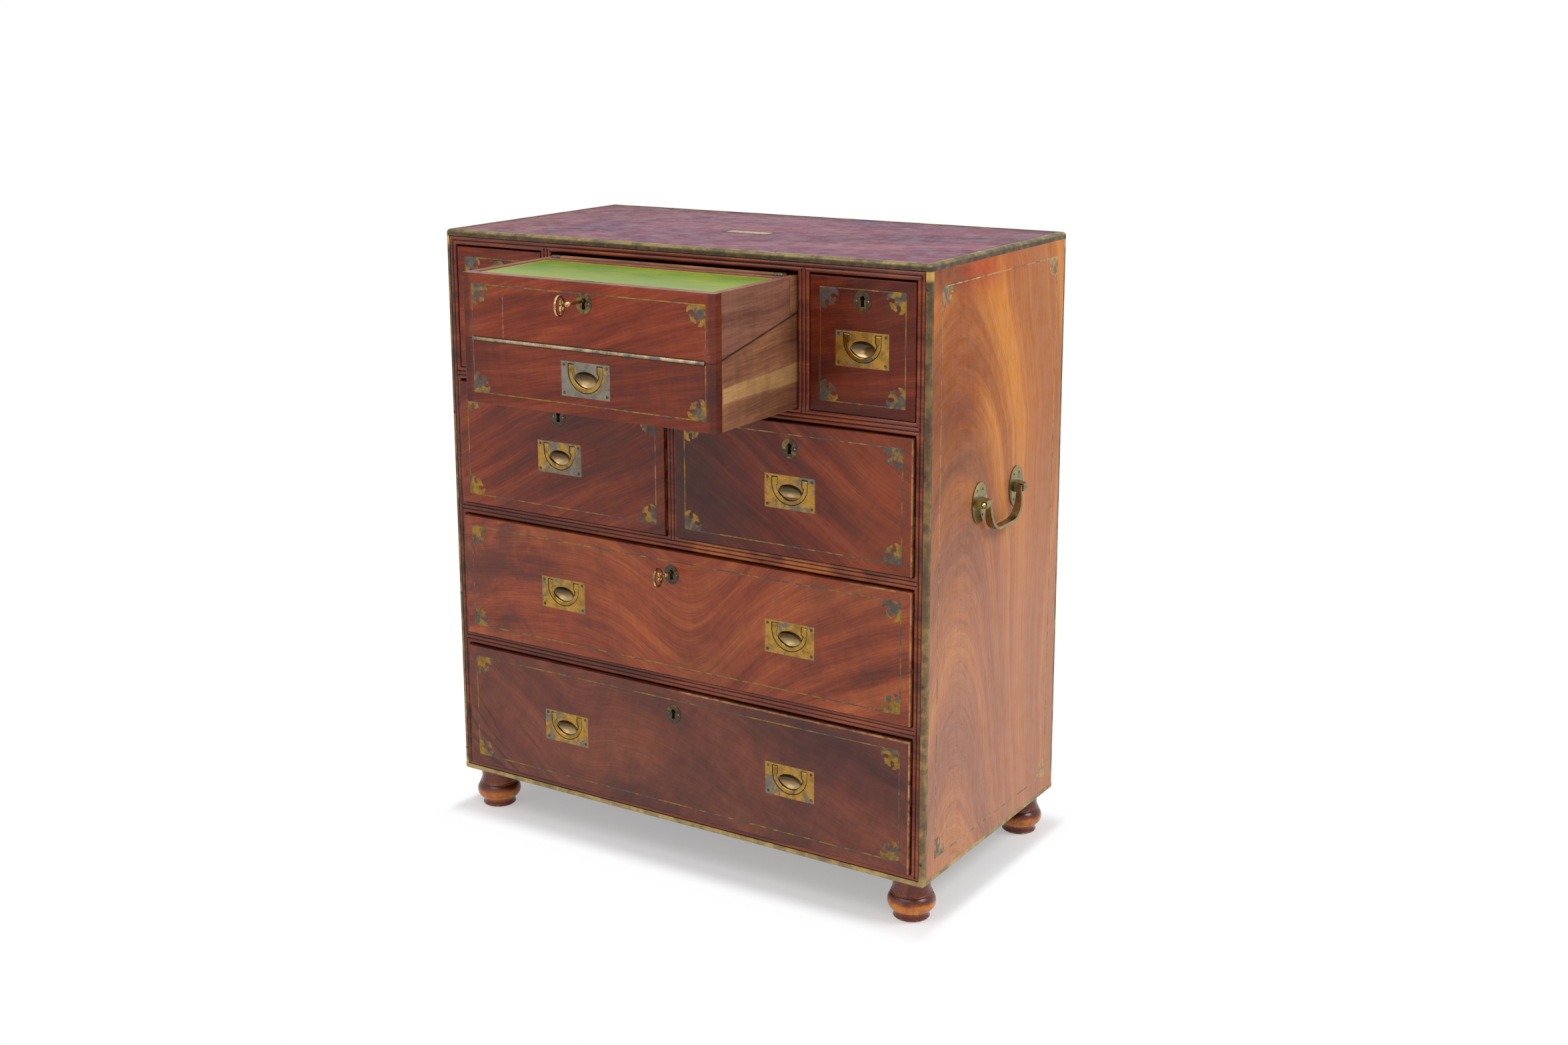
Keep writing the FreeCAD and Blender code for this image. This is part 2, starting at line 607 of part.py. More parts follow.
# --- flush handles: the plate's centre is the origin, its face lies on Y = 0 and looks along -Y ---------


def bail_outline(grow):
    """The D of the bail as a face on Y = 0. grow widens it to the channel that it lies in."""
    half = BAIL_WIDTH / 2 + grow
    top = PLATE_HEIGHT / 2 - BAIL_TOP_GAP + grow
    centre = PLATE_HEIGHT / 2 - BAIL_TOP_GAP - BAIL_HEIGHT + BAIL_WIDTH / 2
    inner_r = BAIL_WIDTH / 2 - BAIL_BOW - grow
    leg = BAIL_WIDTH / 2 - BAIL_LEG - grow
    shoulder = PLATE_HEIGHT / 2 - BAIL_TOP_GAP - BAIL_LEG_LENGTH
    drop = inner_r * math.sin(math.radians(10))
    side = inner_r * math.cos(math.radians(10))
    outline = [
        Part.LineSegment(V(-half, 0, top), V(-half, 0, centre)),
        Part.Arc(V(-half, 0, centre), V(0, 0, centre - half), V(half, 0, centre)),
        Part.LineSegment(V(half, 0, centre), V(half, 0, top)),
        Part.LineSegment(V(half, 0, top), V(leg, 0, top)),
        Part.LineSegment(V(leg, 0, top), V(leg, 0, shoulder)),
        Part.LineSegment(V(leg, 0, shoulder), V(side, 0, centre - drop)),
        Part.Arc(V(side, 0, centre - drop), V(0, 0, centre - inner_r), V(-side, 0, centre - drop)),
        Part.LineSegment(V(-side, 0, centre - drop), V(-leg, 0, shoulder)),
        Part.LineSegment(V(-leg, 0, shoulder), V(-leg, 0, top)),
        Part.LineSegment(V(-leg, 0, top), V(-half, 0, top)),
    ]
    return Part.Face(Part.Wire([line.toShape() for line in outline]))


BAIL_AXIS_Z = PLATE_HEIGHT / 2 - BAIL_TOP_GAP - BAIL_THICK / 2
BAIL_AXIS_Y = BAIL_SET_IN + BAIL_THICK / 2


def bail_pins(radius, reach):
    """The two pivot pins, or the holes for them, across the bail's legs."""
    near = BAIL_WIDTH / 2 - BAIL_LEG - reach
    far = BAIL_WIDTH / 2 + reach
    return [
        cylinder(radius, V(way * near, BAIL_AXIS_Y, BAIL_AXIS_Z), V(way * far, BAIL_AXIS_Y, BAIL_AXIS_Z))
        for way in (-1, 1)
    ]


def flush_bail():
    bail = bail_outline(0.0).extrude(V(0, BAIL_THICK, 0))
    bail.translate(V(0, BAIL_SET_IN, 0))
    top = PLATE_HEIGHT / 2 - BAIL_TOP_GAP

    def knuckle(edge):
        return along(edge, X) and abs(edge.BoundBox.Center.z - top) < 1e-6

    bail = bail.makeFillet(BAIL_THICK / 2 - 0.1, edges_where(bail, knuckle))

    def grip(edge):
        centre = edge.BoundBox.Center
        return abs(edge.BoundBox.YMax - BAIL_SET_IN) < 1e-6 and not along(edge, X) and centre.z < BAIL_AXIS_Z

    bail = bail.makeChamfer(BAIL_CHAMFER, edges_where(bail, grip))
    return bail.cut(bail_pins(BAIL_PIN_R + BAIL_PIN_CLEARANCE, BAIL_CLEARANCE))


def housing(grow):
    """The block behind the plate that holds the channel and the cup; grow makes its pocket in the wood."""
    half = BAIL_WIDTH / 2 + BAIL_CLEARANCE + HOUSING_MARGIN + grow
    top = PLATE_HEIGHT / 2 - HOUSING_TOP_GAP + grow
    centre = PLATE_HEIGHT / 2 - BAIL_TOP_GAP - BAIL_HEIGHT + BAIL_WIDTH / 2
    outline = [
        Part.LineSegment(V(half, 0, centre), V(half, 0, top)),
        Part.LineSegment(V(half, 0, top), V(-half, 0, top)),
        Part.LineSegment(V(-half, 0, top), V(-half, 0, centre)),
        Part.Arc(V(-half, 0, centre), V(0, 0, centre - half), V(half, 0, centre)),
    ]
    face = Part.Face(Part.Wire([line.toShape() for line in outline]))
    return face.extrude(V(0, HOUSING_DEPTH + grow, 0))


def finger_cup():
    """The oval hollow behind the bail: a half-ellipse turned about a level axis in front of the face."""
    across = (CUP_HALF_HEIGHT ** 2 / CUP_DEPTH + CUP_DEPTH) / 2
    ahead = across - CUP_DEPTH
    long = CUP_HALF_WIDTH / math.sqrt(1 - (ahead / across) ** 2)
    curve = Part.Ellipse(V(long, 0, 0), V(0, across, 0), V(0, 0, 0))
    half = Part.Arc(curve, 0, math.pi).toShape()
    chord = Part.LineSegment(V(-long, 0, 0), V(long, 0, 0)).toShape()
    hollow = Part.Face(Part.Wire([half, chord])).revolve(V(0, 0, 0), X, 360)
    return moved(hollow, 0, -ahead, PLATE_HEIGHT / 2 - CUP_DROP)


def flush_plate():
    half_w, half_h = PLATE_WIDTH / 2, PLATE_HEIGHT / 2
    plate = box(-half_w, half_w, 0, PLATE_THICK, -half_h, half_h)
    body = plate.fuse(housing(0.0)).removeSplitter()
    channel = bail_outline(BAIL_CLEARANCE).extrude(V(0, BAIL_SET_IN + BAIL_THICK + BAIL_CLEARANCE, 0))
    return body.cut([channel, finger_cup()]).fuse(bail_pins(BAIL_PIN_R, BAIL_CLEARANCE + 1.0))


# --- locks: the escutcheon's middle is the origin, on the drawer's face at Y = 0 -------------------------


def keyhole(y0, y1, grow=0.0):
    """A round hole on the key's axis with a slot that widens downwards."""
    hole = cylinder(KEYHOLE_R + grow, V(0, y0, KEY_RISE), V(0, y1, KEY_RISE))
    narrow, wide = KEYHOLE_TOP_WIDTH / 2 + grow, KEYHOLE_FOOT_WIDTH / 2 + grow
    low = -KEYHOLE_FOOT - grow
    slot = prism_xz([(-narrow, KEY_RISE), (-wide, low), (wide, low), (narrow, KEY_RISE)], y0, y1)
    return hole.fuse(slot).removeSplitter()


def escutcheon():
    y0 = -ESCUTCHEON_PROUD
    disc = ellipse_disc(ESCUTCHEON_HALF_WIDTH, ESCUTCHEON_HALF_HEIGHT, Y, V(0, y0, 0), ESCUTCHEON_THICK)
    return disc.cut(keyhole(y0 - 1, ESCUTCHEON_THICK + 1))


def lock_case(thickness, drop):
    """The case let into the back of a front of that thickness; its selvedge is drop above the escutcheon."""
    y1 = thickness
    y0 = y1 - CASE_DEPTH
    case = box(-CASE_HALF_WIDTH, CASE_HALF_WIDTH, y0, y1, -CASE_BELOW, drop)
    selvedge = box(-SELVEDGE_HALF_WIDTH, SELVEDGE_HALF_WIDTH, y0, y1, drop - SELVEDGE_THICK, drop)
    wall = CASE_WALL
    inner = CASE_HALF_WIDTH - wall
    hollow = box(-inner, inner, y0 + wall, y1 - wall, wall - CASE_BELOW, drop - SELVEDGE_THICK)
    half = BOLT_HALF_WIDTH + BOLT_CLEARANCE
    slot_y = y1 - wall - BOLT_THICK - 2 * BOLT_CLEARANCE
    slot = box(-half, half, slot_y, y1 - wall, drop - SELVEDGE_THICK, drop)
    socket_r = KEY_SHANK_R + KEY_SOCKET_CLEARANCE
    socket = cylinder(socket_r, V(0, y1 - wall, KEY_RISE), V(0, y1 - wall + KEY_SOCKET_DEPTH, KEY_RISE))
    return case.fuse(selvedge).removeSplitter().cut([hollow, slot, socket, keyhole(y0 - 1, y0 + wall)])


def lock_bolt(thickness, drop):
    """The bolt, drawn back into the case so that it lies just under the selvedge's face."""
    y1 = thickness - CASE_WALL - BOLT_CLEARANCE
    top = drop - BOLT_CLEARANCE
    return box(-BOLT_HALF_WIDTH, BOLT_HALF_WIDTH, y1 - BOLT_THICK, y1, top - BOLT_HEIGHT, top)


def lock_recess(thickness, drop):
    """What the lock takes out of a drawer front."""
    gap = CASE_CLEARANCE
    y0 = thickness - CASE_DEPTH
    y1 = thickness + 1
    case_half, selvedge_half = CASE_HALF_WIDTH + gap, SELVEDGE_HALF_WIDTH + gap
    case = box(-case_half, case_half, y0, y1, -CASE_BELOW - gap, drop + 1)
    selvedge = box(-selvedge_half, selvedge_half, y0, y1, drop - SELVEDGE_THICK, drop + 1)
    sink = 1 + ESCUTCHEON_THICK - ESCUTCHEON_PROUD
    plate = ellipse_disc(ESCUTCHEON_HALF_WIDTH, ESCUTCHEON_HALF_HEIGHT, Y, V(0, -1, 0), sink)
    return [case, selvedge, plate, keyhole(-1, thickness, CASE_CLEARANCE)]


def key(thickness, exposed):
    """A key with an oval bow; its bit hangs down inside the lock case. exposed is the bare shank outside."""
    end = thickness - CASE_WALL
    tip = end + KEY_SOCKET_DEPTH - BOLT_CLEARANCE
    collar = -exposed
    ball = collar - KEY_COLLAR_LENGTH
    bow_near = ball - 2 * KEY_BALL_R + 1.0
    bow = bow_near - KEY_BOW_HALF_LENGTH
    axis = KEY_RISE
    shank = cylinder(KEY_SHANK_R, V(0, bow_near - 0.5, axis), V(0, tip, axis))
    step = KEY_COLLAR_LENGTH / 4
    radii = [0.0, KEY_SHANK_R, KEY_COLLAR_R, KEY_COLLAR_WAIST_R, KEY_COLLAR_R, KEY_SHANK_R, 0.0]
    steps = [0, 0, 1, 2, 3, 4, 4]
    rings = polygon([V(r, collar - n * step, 0) for r, n in zip(radii, steps)]).revolve(V(0, 0, 0), Y, 360)
    rings.translate(V(0, 0, axis))
    knob = Part.makeSphere(KEY_BALL_R, V(0, ball - KEY_BALL_R + 0.5, axis))
    bit_end = end - 1
    bit_x = KEY_BIT_THICK / 2
    bit = box(-bit_x, bit_x, bit_end - KEY_BIT_LENGTH, bit_end, axis - KEY_BIT_REACH, axis)
    half_x = KEY_BOW_THICK / 2
    centre = V(-half_x, bow, axis)
    rim = ellipse_disc(KEY_BOW_HALF_LENGTH, KEY_BOW_HALF_WIDTH, X, centre, KEY_BOW_THICK)
    eye_length, eye_width = KEY_BOW_HALF_LENGTH - KEY_BOW_RIM, KEY_BOW_HALF_WIDTH - KEY_BOW_RIM
    eye = ellipse_disc(eye_length, eye_width, X, centre - X, KEY_BOW_THICK + 2)
    pieces = [knob, rings, shank, bit]
    reach, scroll_eye = KEY_SCROLL_R - KEY_SCROLL_LAP, KEY_SCROLL_R - KEY_SCROLL_RIM
    half_band = Z * (KEY_BAND_LENGTH / 2)
    for way in (-1, 1):
        scroll = V(-half_x, bow_near - reach, axis + way * reach)
        loop = cylinder(KEY_SCROLL_R, scroll, scroll + X * KEY_BOW_THICK)
        pieces.append(loop.cut(cylinder(scroll_eye, scroll - X, scroll + X * (KEY_BOW_THICK + 1))))
        band = V(0, bow - KEY_BOW_HALF_LENGTH + KEY_BOW_RIM / 2, axis + way * KEY_BAND_SPREAD)
        pieces.append(cylinder(KEY_BAND_R, band - half_band, band + half_band))
    return rim.cut(eye).fuse(pieces)


# --- drawers -----------------------------------------------------------------------------------------


def handle_z(row):
    low, high = row_span(row)
    return (low + high) / 2 - HANDLE_DROP


def drawer(name, x0, x1, row, proud, handle_xs, exposed_key=None):
    """A drawer for the opening from x0 to x1. Returns where its bolt meets the board above it."""
    z0, z1 = row_span(row)
    y = -Y_OUT - proud
    x_lock = (x0 + x1) / 2
    z_lock = handle_z(row) + (LOCK_ABOVE_HANDLE if row else SMALL_LOCK_ABOVE_HANDLE)
    front_top = z1 - FRONT_TOP_GAP
    drop = front_top - z_lock
    y_in = y + FRONT_THICK

    bx0, bx1 = x0 + DRAWER_SIDE_GAP, x1 - DRAWER_SIDE_GAP
    front = box(bx0, bx1, y, y_in, z0 + FRONT_BOTTOM_GAP, front_top)

    def face_edge(edge):
        return abs(edge.BoundBox.YMax - y) < 1e-6

    front = front.makeFillet(FRONT_EDGE_RADIUS, edges_where(front, face_edge))
    plate = flush_plate()
    plates, bails, cuts = [], [], []
    for x in handle_xs:
        plates.append(moved(plate, x, y, handle_z(row)))
        bails.append(moved(flush_bail(), x, y, handle_z(row)))
        cuts.append(handle_recess(x, y, handle_z(row)))
    cuts += [moved(cut, x_lock, y, z_lock) for cut in lock_recess(FRONT_THICK, drop)]
    front = front.cut([solid for cut in cuts for solid in cut.Solids])

    y_end = DRAWER_END
    low, high = z0 + RUN_GAP, z1 - BOX_FALL
    panel_low = low + PANEL_RAISE
    px0, px1 = bx0 + BOX_WALL - PANEL_HOUSING, bx1 - BOX_WALL + PANEL_HOUSING
    panel = box(px0, px1, y_in, y_end - BOX_WALL, panel_low, panel_low + PANEL_THICK)
    back = box(bx0, bx1, y_end - BOX_WALL, y_end, low, high)
    sides = []
    for x in (bx0, bx1 - BOX_WALL):
        front_tails = dovetails(x, y_in, y + FRONT_LAP, low, high)
        back_tails = dovetails(x, y_end - BOX_WALL, y_end, low, high)
        side = box(x, x + BOX_WALL, y_in, y_end - BOX_WALL, low, high).cut(panel)
        sides.append(side.fuse(front_tails + back_tails).removeSplitter())
        front, back = front.cut(front_tails), back.cut(back_tails)

    save(name + "_front", [front])
    save(name + "_box", sides + [back, panel])
    save(name + "_plate", plates)
    for suffix, bail in zip(("",) if len(bails) == 1 else ("_left", "_right"), bails):
        save(name + "_bail" + suffix, [bail])
    lock = [escutcheon(), lock_case(FRONT_THICK, drop)]
    bolt = lock_bolt(FRONT_THICK, drop)
    if exposed_key is None:
        lock.append(bolt)
    else:
        save(name + "_bolt", [moved(bolt, x_lock, y, z_lock)])
        save(name + "_key", [moved(key(FRONT_THICK, exposed_key), x_lock, y, z_lock)])
    save(name + "_lock", [moved(piece, x_lock, y, z_lock) for piece in lock])
    return x_lock, y, z1, FRONT_THICK


def dovetails(x, root, tip, low, high):
    """The tails on the end of a drawer side: they widen from root to tip along Y."""
    pitch = (high - low) / TAILS
    tails = []
    for i in range(TAILS):
        z = low + (i + 0.5) * pitch
        narrow, wide = TAIL_WIDTH / 2, TAIL_WIDTH / 2 + TAIL_FLARE
        outline = [(root, z - narrow), (root, z + narrow), (tip, z + wide), (tip, z - wide)]
        tails.append(prism_yz(outline, x, x + BOX_WALL))
    return tails


def handle_recess(x, y, z):
    """The pocket for a flush handle: the plate's own outline and the housing behind it."""
    half_w, half_h = PLATE_WIDTH / 2, PLATE_HEIGHT / 2
    plate = box(-half_w, half_w, -1, PLATE_THICK, -half_h, half_h)
    return moved(plate.fuse(housing(HOUSING_CLEARANCE)), x, y, z)


# --- writing box: its own frame has X = 0 in its middle, its front face on Y = 0, its underside on Z = 0 --


def seam(y):
    return SEAM_HEIGHT + y * SEAM_SLOPE


def above_seam(y0, y1, x0, x1):
    """A board of the lid: level on top, its underside on the seam."""
    gap = SEAM_GAP / 2
    outline = [(y0, seam(y0) + gap), (y1, seam(y1) + gap), (y1, WRITING_HEIGHT), (y0, WRITING_HEIGHT)]
    return prism_yz(outline, x0, x1)


def on_seam(shape):
    """Lays a piece made level, with the hinge's axis as its X axis, onto the sloping seam."""
    shape.rotate(V(0, 0, 0), X, SEAM_ANGLE)
    return moved(shape, z=SEAM_HEIGHT)


def hinge_knuckles(odd, radius, grow):
    pitch = HINGE_LENGTH / HINGE_KNUCKLES
    starts = [i * pitch - HINGE_LENGTH / 2 for i in range(HINGE_KNUCKLES) if i % 2 == odd]
    return [cylinder(radius, V(x - grow, 0, 0), V(x + pitch + grow, 0, 0)) for x in starts]


def hinge_half(lower):
    """One leaf of the long hinge with its knuckles; the lower half carries the pin."""
    sign = -1 if lower else 1
    near, far = sign * SEAM_GAP / 2, sign * (SEAM_GAP / 2 + HINGE_LEAF_THICK)
    leaf = box(-HINGE_LENGTH / 2, HINGE_LENGTH / 2, 0, HINGE_LEAF_DEPTH, min(near, far), max(near, far))
    end_gap = 0.15
    own = hinge_knuckles(0 if lower else 1, HINGE_BARREL_R, -end_gap)
    other = hinge_knuckles(1 if lower else 0, HINGE_BARREL_R + HINGE_CLEARANCE, end_gap)
    leaf = leaf.cut(other).fuse(own)
    pin = [V(-HINGE_LENGTH / 2, 0, 0), V(HINGE_LENGTH / 2, 0, 0)]
    if lower:
        return on_seam(leaf.fuse(cylinder(HINGE_PIN_R, *pin)))
    return on_seam(leaf.cut(cylinder(HINGE_PIN_R + HINGE_PIN_CLEARANCE, *pin)))


def hinge_recess():
    """What the hinge takes out of the two fronts: a channel for the barrel and the beds of the leaves."""
    half = HINGE_LENGTH / 2 + HINGE_CLEARANCE
    barrel = cylinder(HINGE_BARREL_R + HINGE_CLEARANCE, V(-half, 0, 0), V(half, 0, 0))
    deep = SEAM_GAP / 2 + HINGE_LEAF_THICK
    beds = box(-half, half, -1, HINGE_LEAF_DEPTH + HINGE_CLEARANCE, -deep, deep)
    return on_seam(barrel.fuse(beds))


def writing_box():
    """The base with its rear well, the lid with its leather, the hinge, the handle and the lock."""
    half = WRITING_WIDTH / 2
    inner = half - WRITING_WALL
    gap = SEAM_GAP / 2
    thick = WRITING_FRONT_THICK
    top = WRITING_HEIGHT
    place = {"y": -Y_OUT - SMALL_DRAWER_PROUD - WRITING_PULL, "z": row_span(0)[0] + RUN_GAP}

    base_front = prism_yz([(0, 0), (thick, 0), (thick, seam(thick) - gap), (0, seam(0) - gap)], -half, half)
    lid_front = above_seam(0, thick, -half, half)

    def arris(edge):
        at_seam = along(edge, X) and abs(edge.BoundBox.ZMax - SEAM_HEIGHT) < 1
        return abs(edge.BoundBox.YMax) < 1e-6 and not at_seam

    base_front = base_front.makeFillet(FRONT_EDGE_RADIUS, edges_where(base_front, arris))
    lid_front = lid_front.makeFillet(FRONT_EDGE_RADIUS, edges_where(lid_front, arris))
    recess = hinge_recess()
    base_front = base_front.cut([recess, handle_recess(0, 0, WRITING_HANDLE_HEIGHT)])
    z_lock = top - WRITING_LOCK_DROP
    lock_cuts = [moved(cut, z=z_lock) for cut in lock_recess(thick, WRITING_LOCK_DROP)]
    lid_front = lid_front.cut([recess] + lock_cuts)

    rest = LID_LENGTH + LID_REAR_GAP  # where the full-height rear part begins
    length = DRAWER_END + Y_OUT + SMALL_DRAWER_PROUD
    outline = [(thick, 0), (length, 0), (length, top), (rest, top)]
    outline += [(rest, seam(rest) - gap), (thick, seam(thick) - gap)]
    panel_low, panel_half = PANEL_RAISE, inner + PANEL_HOUSING
    y_end = length - BOX_WALL
    panel = box(-panel_half, panel_half, thick, y_end, panel_low, panel_low + WRITING_PANEL)
    bar = box(-inner, inner, rest, rest + BAR_THICK, panel_low + WRITING_PANEL, top + BAR_RISE)

    def bar_top(edge):
        return along(edge, X) and abs(edge.BoundBox.ZMax - top - BAR_RISE) < 1e-6

    bar = bar.makeFillet(BAR_RADIUS, edges_where(bar, bar_top))
    base_sides = [prism_yz(outline, x, x + WRITING_WALL).cut(panel) for x in (-half, inner)]
    base_back = box(-inner, inner, y_end, length, 0, top)

    rear = LID_LENGTH - LID_REAR_WALL
    lid_sides = [above_seam(thick, LID_LENGTH, x, x + WRITING_WALL) for x in (-half, inner)]
    lid_back = above_seam(rear, LID_LENGTH, -inner, inner)
    leather_top = top - LEATHER_SINK
    board_top = leather_top - LEATHER_THICK
    lid_top = box(-inner, inner, thick, rear, board_top - LID_TOP_THICK, board_top)
    leather = box(-inner, inner, thick, rear, board_top, leather_top)

    plate = moved(flush_plate(), z=WRITING_HANDLE_HEIGHT)
    bail = moved(flush_bail(), z=WRITING_HANDLE_HEIGHT)
    lock = [moved(piece, z=z_lock) for piece in (escutcheon(), lock_case(thick, WRITING_LOCK_DROP))]
    bolt = moved(lock_bolt(thick, WRITING_LOCK_DROP), z=z_lock)
    turned_key = moved(key(thick, WRITING_KEY_EXPOSED), z=z_lock)

    nodes = {
        "writing_base_front": [base_front],
        "writing_base_box": base_sides + [base_back, panel, bar],
        "writing_hinge_lower": [hinge_half(True)],
        "writing_plate": [plate],
        "writing_bail": [bail],
        "writing_lid_front": [lid_front],
        "writing_lid_box": lid_sides + [lid_back, lid_top],
        "writing_leather": [leather],
        "writing_hinge_upper": [hinge_half(False)],
        "writing_lock": lock,
        "writing_bolt": [bolt],
        "writing_key": [turned_key],
    }
    for name, solids in nodes.items():
        save(name, [moved(solid, **place) for solid in solids])
    closed_y = place["y"] + WRITING_PULL
    return 0.0, closed_y, row_span(0)[1], thick


def main():
    os.makedirs("parts", exist_ok=True)
    half = UPRIGHT_THICK / 2
    inner = UPRIGHT_X + half
    middle = (half + X_IN) / 2
    small = (inner + X_IN) / 2
    locks = [
        drawer("small_left", -X_IN, -inner, 0, SMALL_DRAWER_PROUD, [-small]),
        drawer("small_right", inner, X_IN, 0, SMALL_DRAWER_PROUD, [small]),
        writing_box(),
        drawer("mid_left", -X_IN, -half, 1, DRAWER_PROUD, [-middle]),
        drawer("mid_right", half, X_IN, 1, DRAWER_PROUD, [middle]),
        drawer("lower", -X_IN, X_IN, 2, DRAWER_PROUD, [-HANDLE_SPREAD, HANDLE_SPREAD], LOWER_KEY_EXPOSED),
        drawer("bottom", -X_IN, X_IN, 3, DRAWER_PROUD, [-HANDLE_SPREAD, HANDLE_SPREAD]),
    ]
    carcass(locks)
    side_handles()


main()
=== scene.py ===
"""The looks of the campaign chest: its woods, brasses and leather, its brass inlay, screws and pins, and
the studio that it stands in. Lengths are in metres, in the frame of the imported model: x runs to the
chest's right as it is seen, y to its back and z up from the floor."""
import math

import bmesh
import bpy
from mathutils import Matrix, Vector

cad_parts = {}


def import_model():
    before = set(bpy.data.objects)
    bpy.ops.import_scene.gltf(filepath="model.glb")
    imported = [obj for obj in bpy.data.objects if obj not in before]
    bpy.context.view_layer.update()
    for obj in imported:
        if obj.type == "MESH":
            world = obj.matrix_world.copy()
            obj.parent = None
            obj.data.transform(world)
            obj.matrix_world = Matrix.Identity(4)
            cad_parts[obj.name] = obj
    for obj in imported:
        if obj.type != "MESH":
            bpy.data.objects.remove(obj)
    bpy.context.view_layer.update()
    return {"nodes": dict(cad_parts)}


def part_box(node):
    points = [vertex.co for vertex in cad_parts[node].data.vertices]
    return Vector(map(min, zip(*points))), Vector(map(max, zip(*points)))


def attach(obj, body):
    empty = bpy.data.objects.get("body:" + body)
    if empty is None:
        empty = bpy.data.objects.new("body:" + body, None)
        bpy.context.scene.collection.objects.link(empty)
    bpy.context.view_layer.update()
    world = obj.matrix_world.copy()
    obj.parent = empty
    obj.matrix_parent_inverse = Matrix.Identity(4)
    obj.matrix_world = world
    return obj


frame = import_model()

scene = bpy.context.scene
MM = 0.001
DRAWERS = ("small_left", "small_right", "mid_left", "mid_right", "lower", "bottom")


def carried(kind, **more):
    """Each drawer's node of a kind, and more such nodes, with the bodies that carry them."""
    return {f"{drawer}_{kind}": f"{drawer}_drawer" for drawer in DRAWERS} | more


FRONTS = carried("front")
PLATES = carried("plate", writing_plate="writing_box")
LOCKS = carried("lock", writing_lock="writing_lid")

# --- inlay and fixings ---
INLAY_INSET = 16.7 * MM  # stringing inside a drawer front's edges
SIDE_INSET = 36 * MM  # stringing inside the carcass's side
STRING_WIDTH = 1.8 * MM
STRING_PROUD = 0.15 * MM
STRING_CHAMFER = 0.1 * MM
STRING_STEP = 22 * MM  # between the points of a string's edge
STRING_GAPS = (0.6 * MM, 0.5 * MM)  # from the writing box's hinge up and down to its strings' ends
FRET_PROUD = 0.22 * MM
FRET_CHAMFER = 0.12 * MM
INLAY_DEPTH = 0.15 * MM  # how deep the inlay's mesh goes into the wood
LIFTED_LENGTH = 122 * MM  # the sprung stretch of the side's string
LIFTED_START = 4 * MM
LIFTED_RISE = 0.9 * MM
PLATE_WIDTH = 88.5 * MM
PLATE_SCREW_INSET = 5.2 * MM
PLATE_SCREW_R = 2.4 * MM
BINDING_SCREW_R = 2.3 * MM
BINDING_SCREW_INSET = 5.4 * MM
BINDING_SCREW_HEIGHTS = [106 * MM, 386 * MM, 702 * MM, 974 * MM]
EDGING_PIN_R = 1.3 * MM
EDGING_PIN_RISE = 0.3 * MM
EDGING_PIN_INSET = 7 * MM
EDGING_PIN_END = 12 * MM  # from the rim's corner to its first pin
EDGING_PIN_PITCH = 120 * MM
SIDE_PLATE_HALF = 24.5 * MM  # half of an oval plate's width
SIDE_PLATE_THICK = 2 * MM
SIDE_SCREW_R = 2.1 * MM
SIDE_SCREW_SPREAD = (9 * MM, 20 * MM)
NAME_PIN_R = 2.4 * MM
NAME_PIN_RISE = 0.6 * MM
SLOT_WIDTH = 0.6 * MM
LOCK_PIN_R = 1.2 * MM
LOCK_PIN_RISE = 0.5 * MM
LOCK_PIN_SPREAD = 9.6 * MM
STRAP_WIDTH = 17 * MM
STRAP_THICK = 0.6 * MM
STRAP_REACH = 9 * MM  # down the bar's faces
STRAP_SCREW_R = 2.2 * MM
BAR_DEPTH = 12 * MM
BAR_INSET = 13 * MM  # from the writing box's outside to the bar's end
SEAM_HEIGHT = 99 * MM  # where the writing box opens, above its bottom at its front
SEAM_SLOPE = math.tan(math.radians(11.5))
SMOOTH_ANGLE = math.radians(35)


# --- node trees ---


def linear(rgb):
    """A colour given as 0-255 sRGB, as a linear RGBA tuple."""
    values = []
    for channel in rgb:
        c = channel / 255
        values.append(c / 12.92 if c <= 0.04045 else ((c + 0.055) / 1.055) ** 2.4)
    return (*values, 1)


class Value:
    """One output of a node. Arithmetic with it adds math nodes."""

    def __init__(self, nodes, socket):
        self.nodes, self.socket = nodes, socket

    def __add__(self, other):
        return self.nodes.math("ADD", self, other)

    def __sub__(self, other):
        return self.nodes.math("SUBTRACT", self, other)

    def __rsub__(self, other):
        return self.nodes.math("SUBTRACT", other, self)

    def __mul__(self, other):
        return self.nodes.math("MULTIPLY", self, other)

    def __truediv__(self, other):
        return self.nodes.math("DIVIDE", self, other)

    def __abs__(self):
        return self.nodes.math("ABSOLUTE", self)


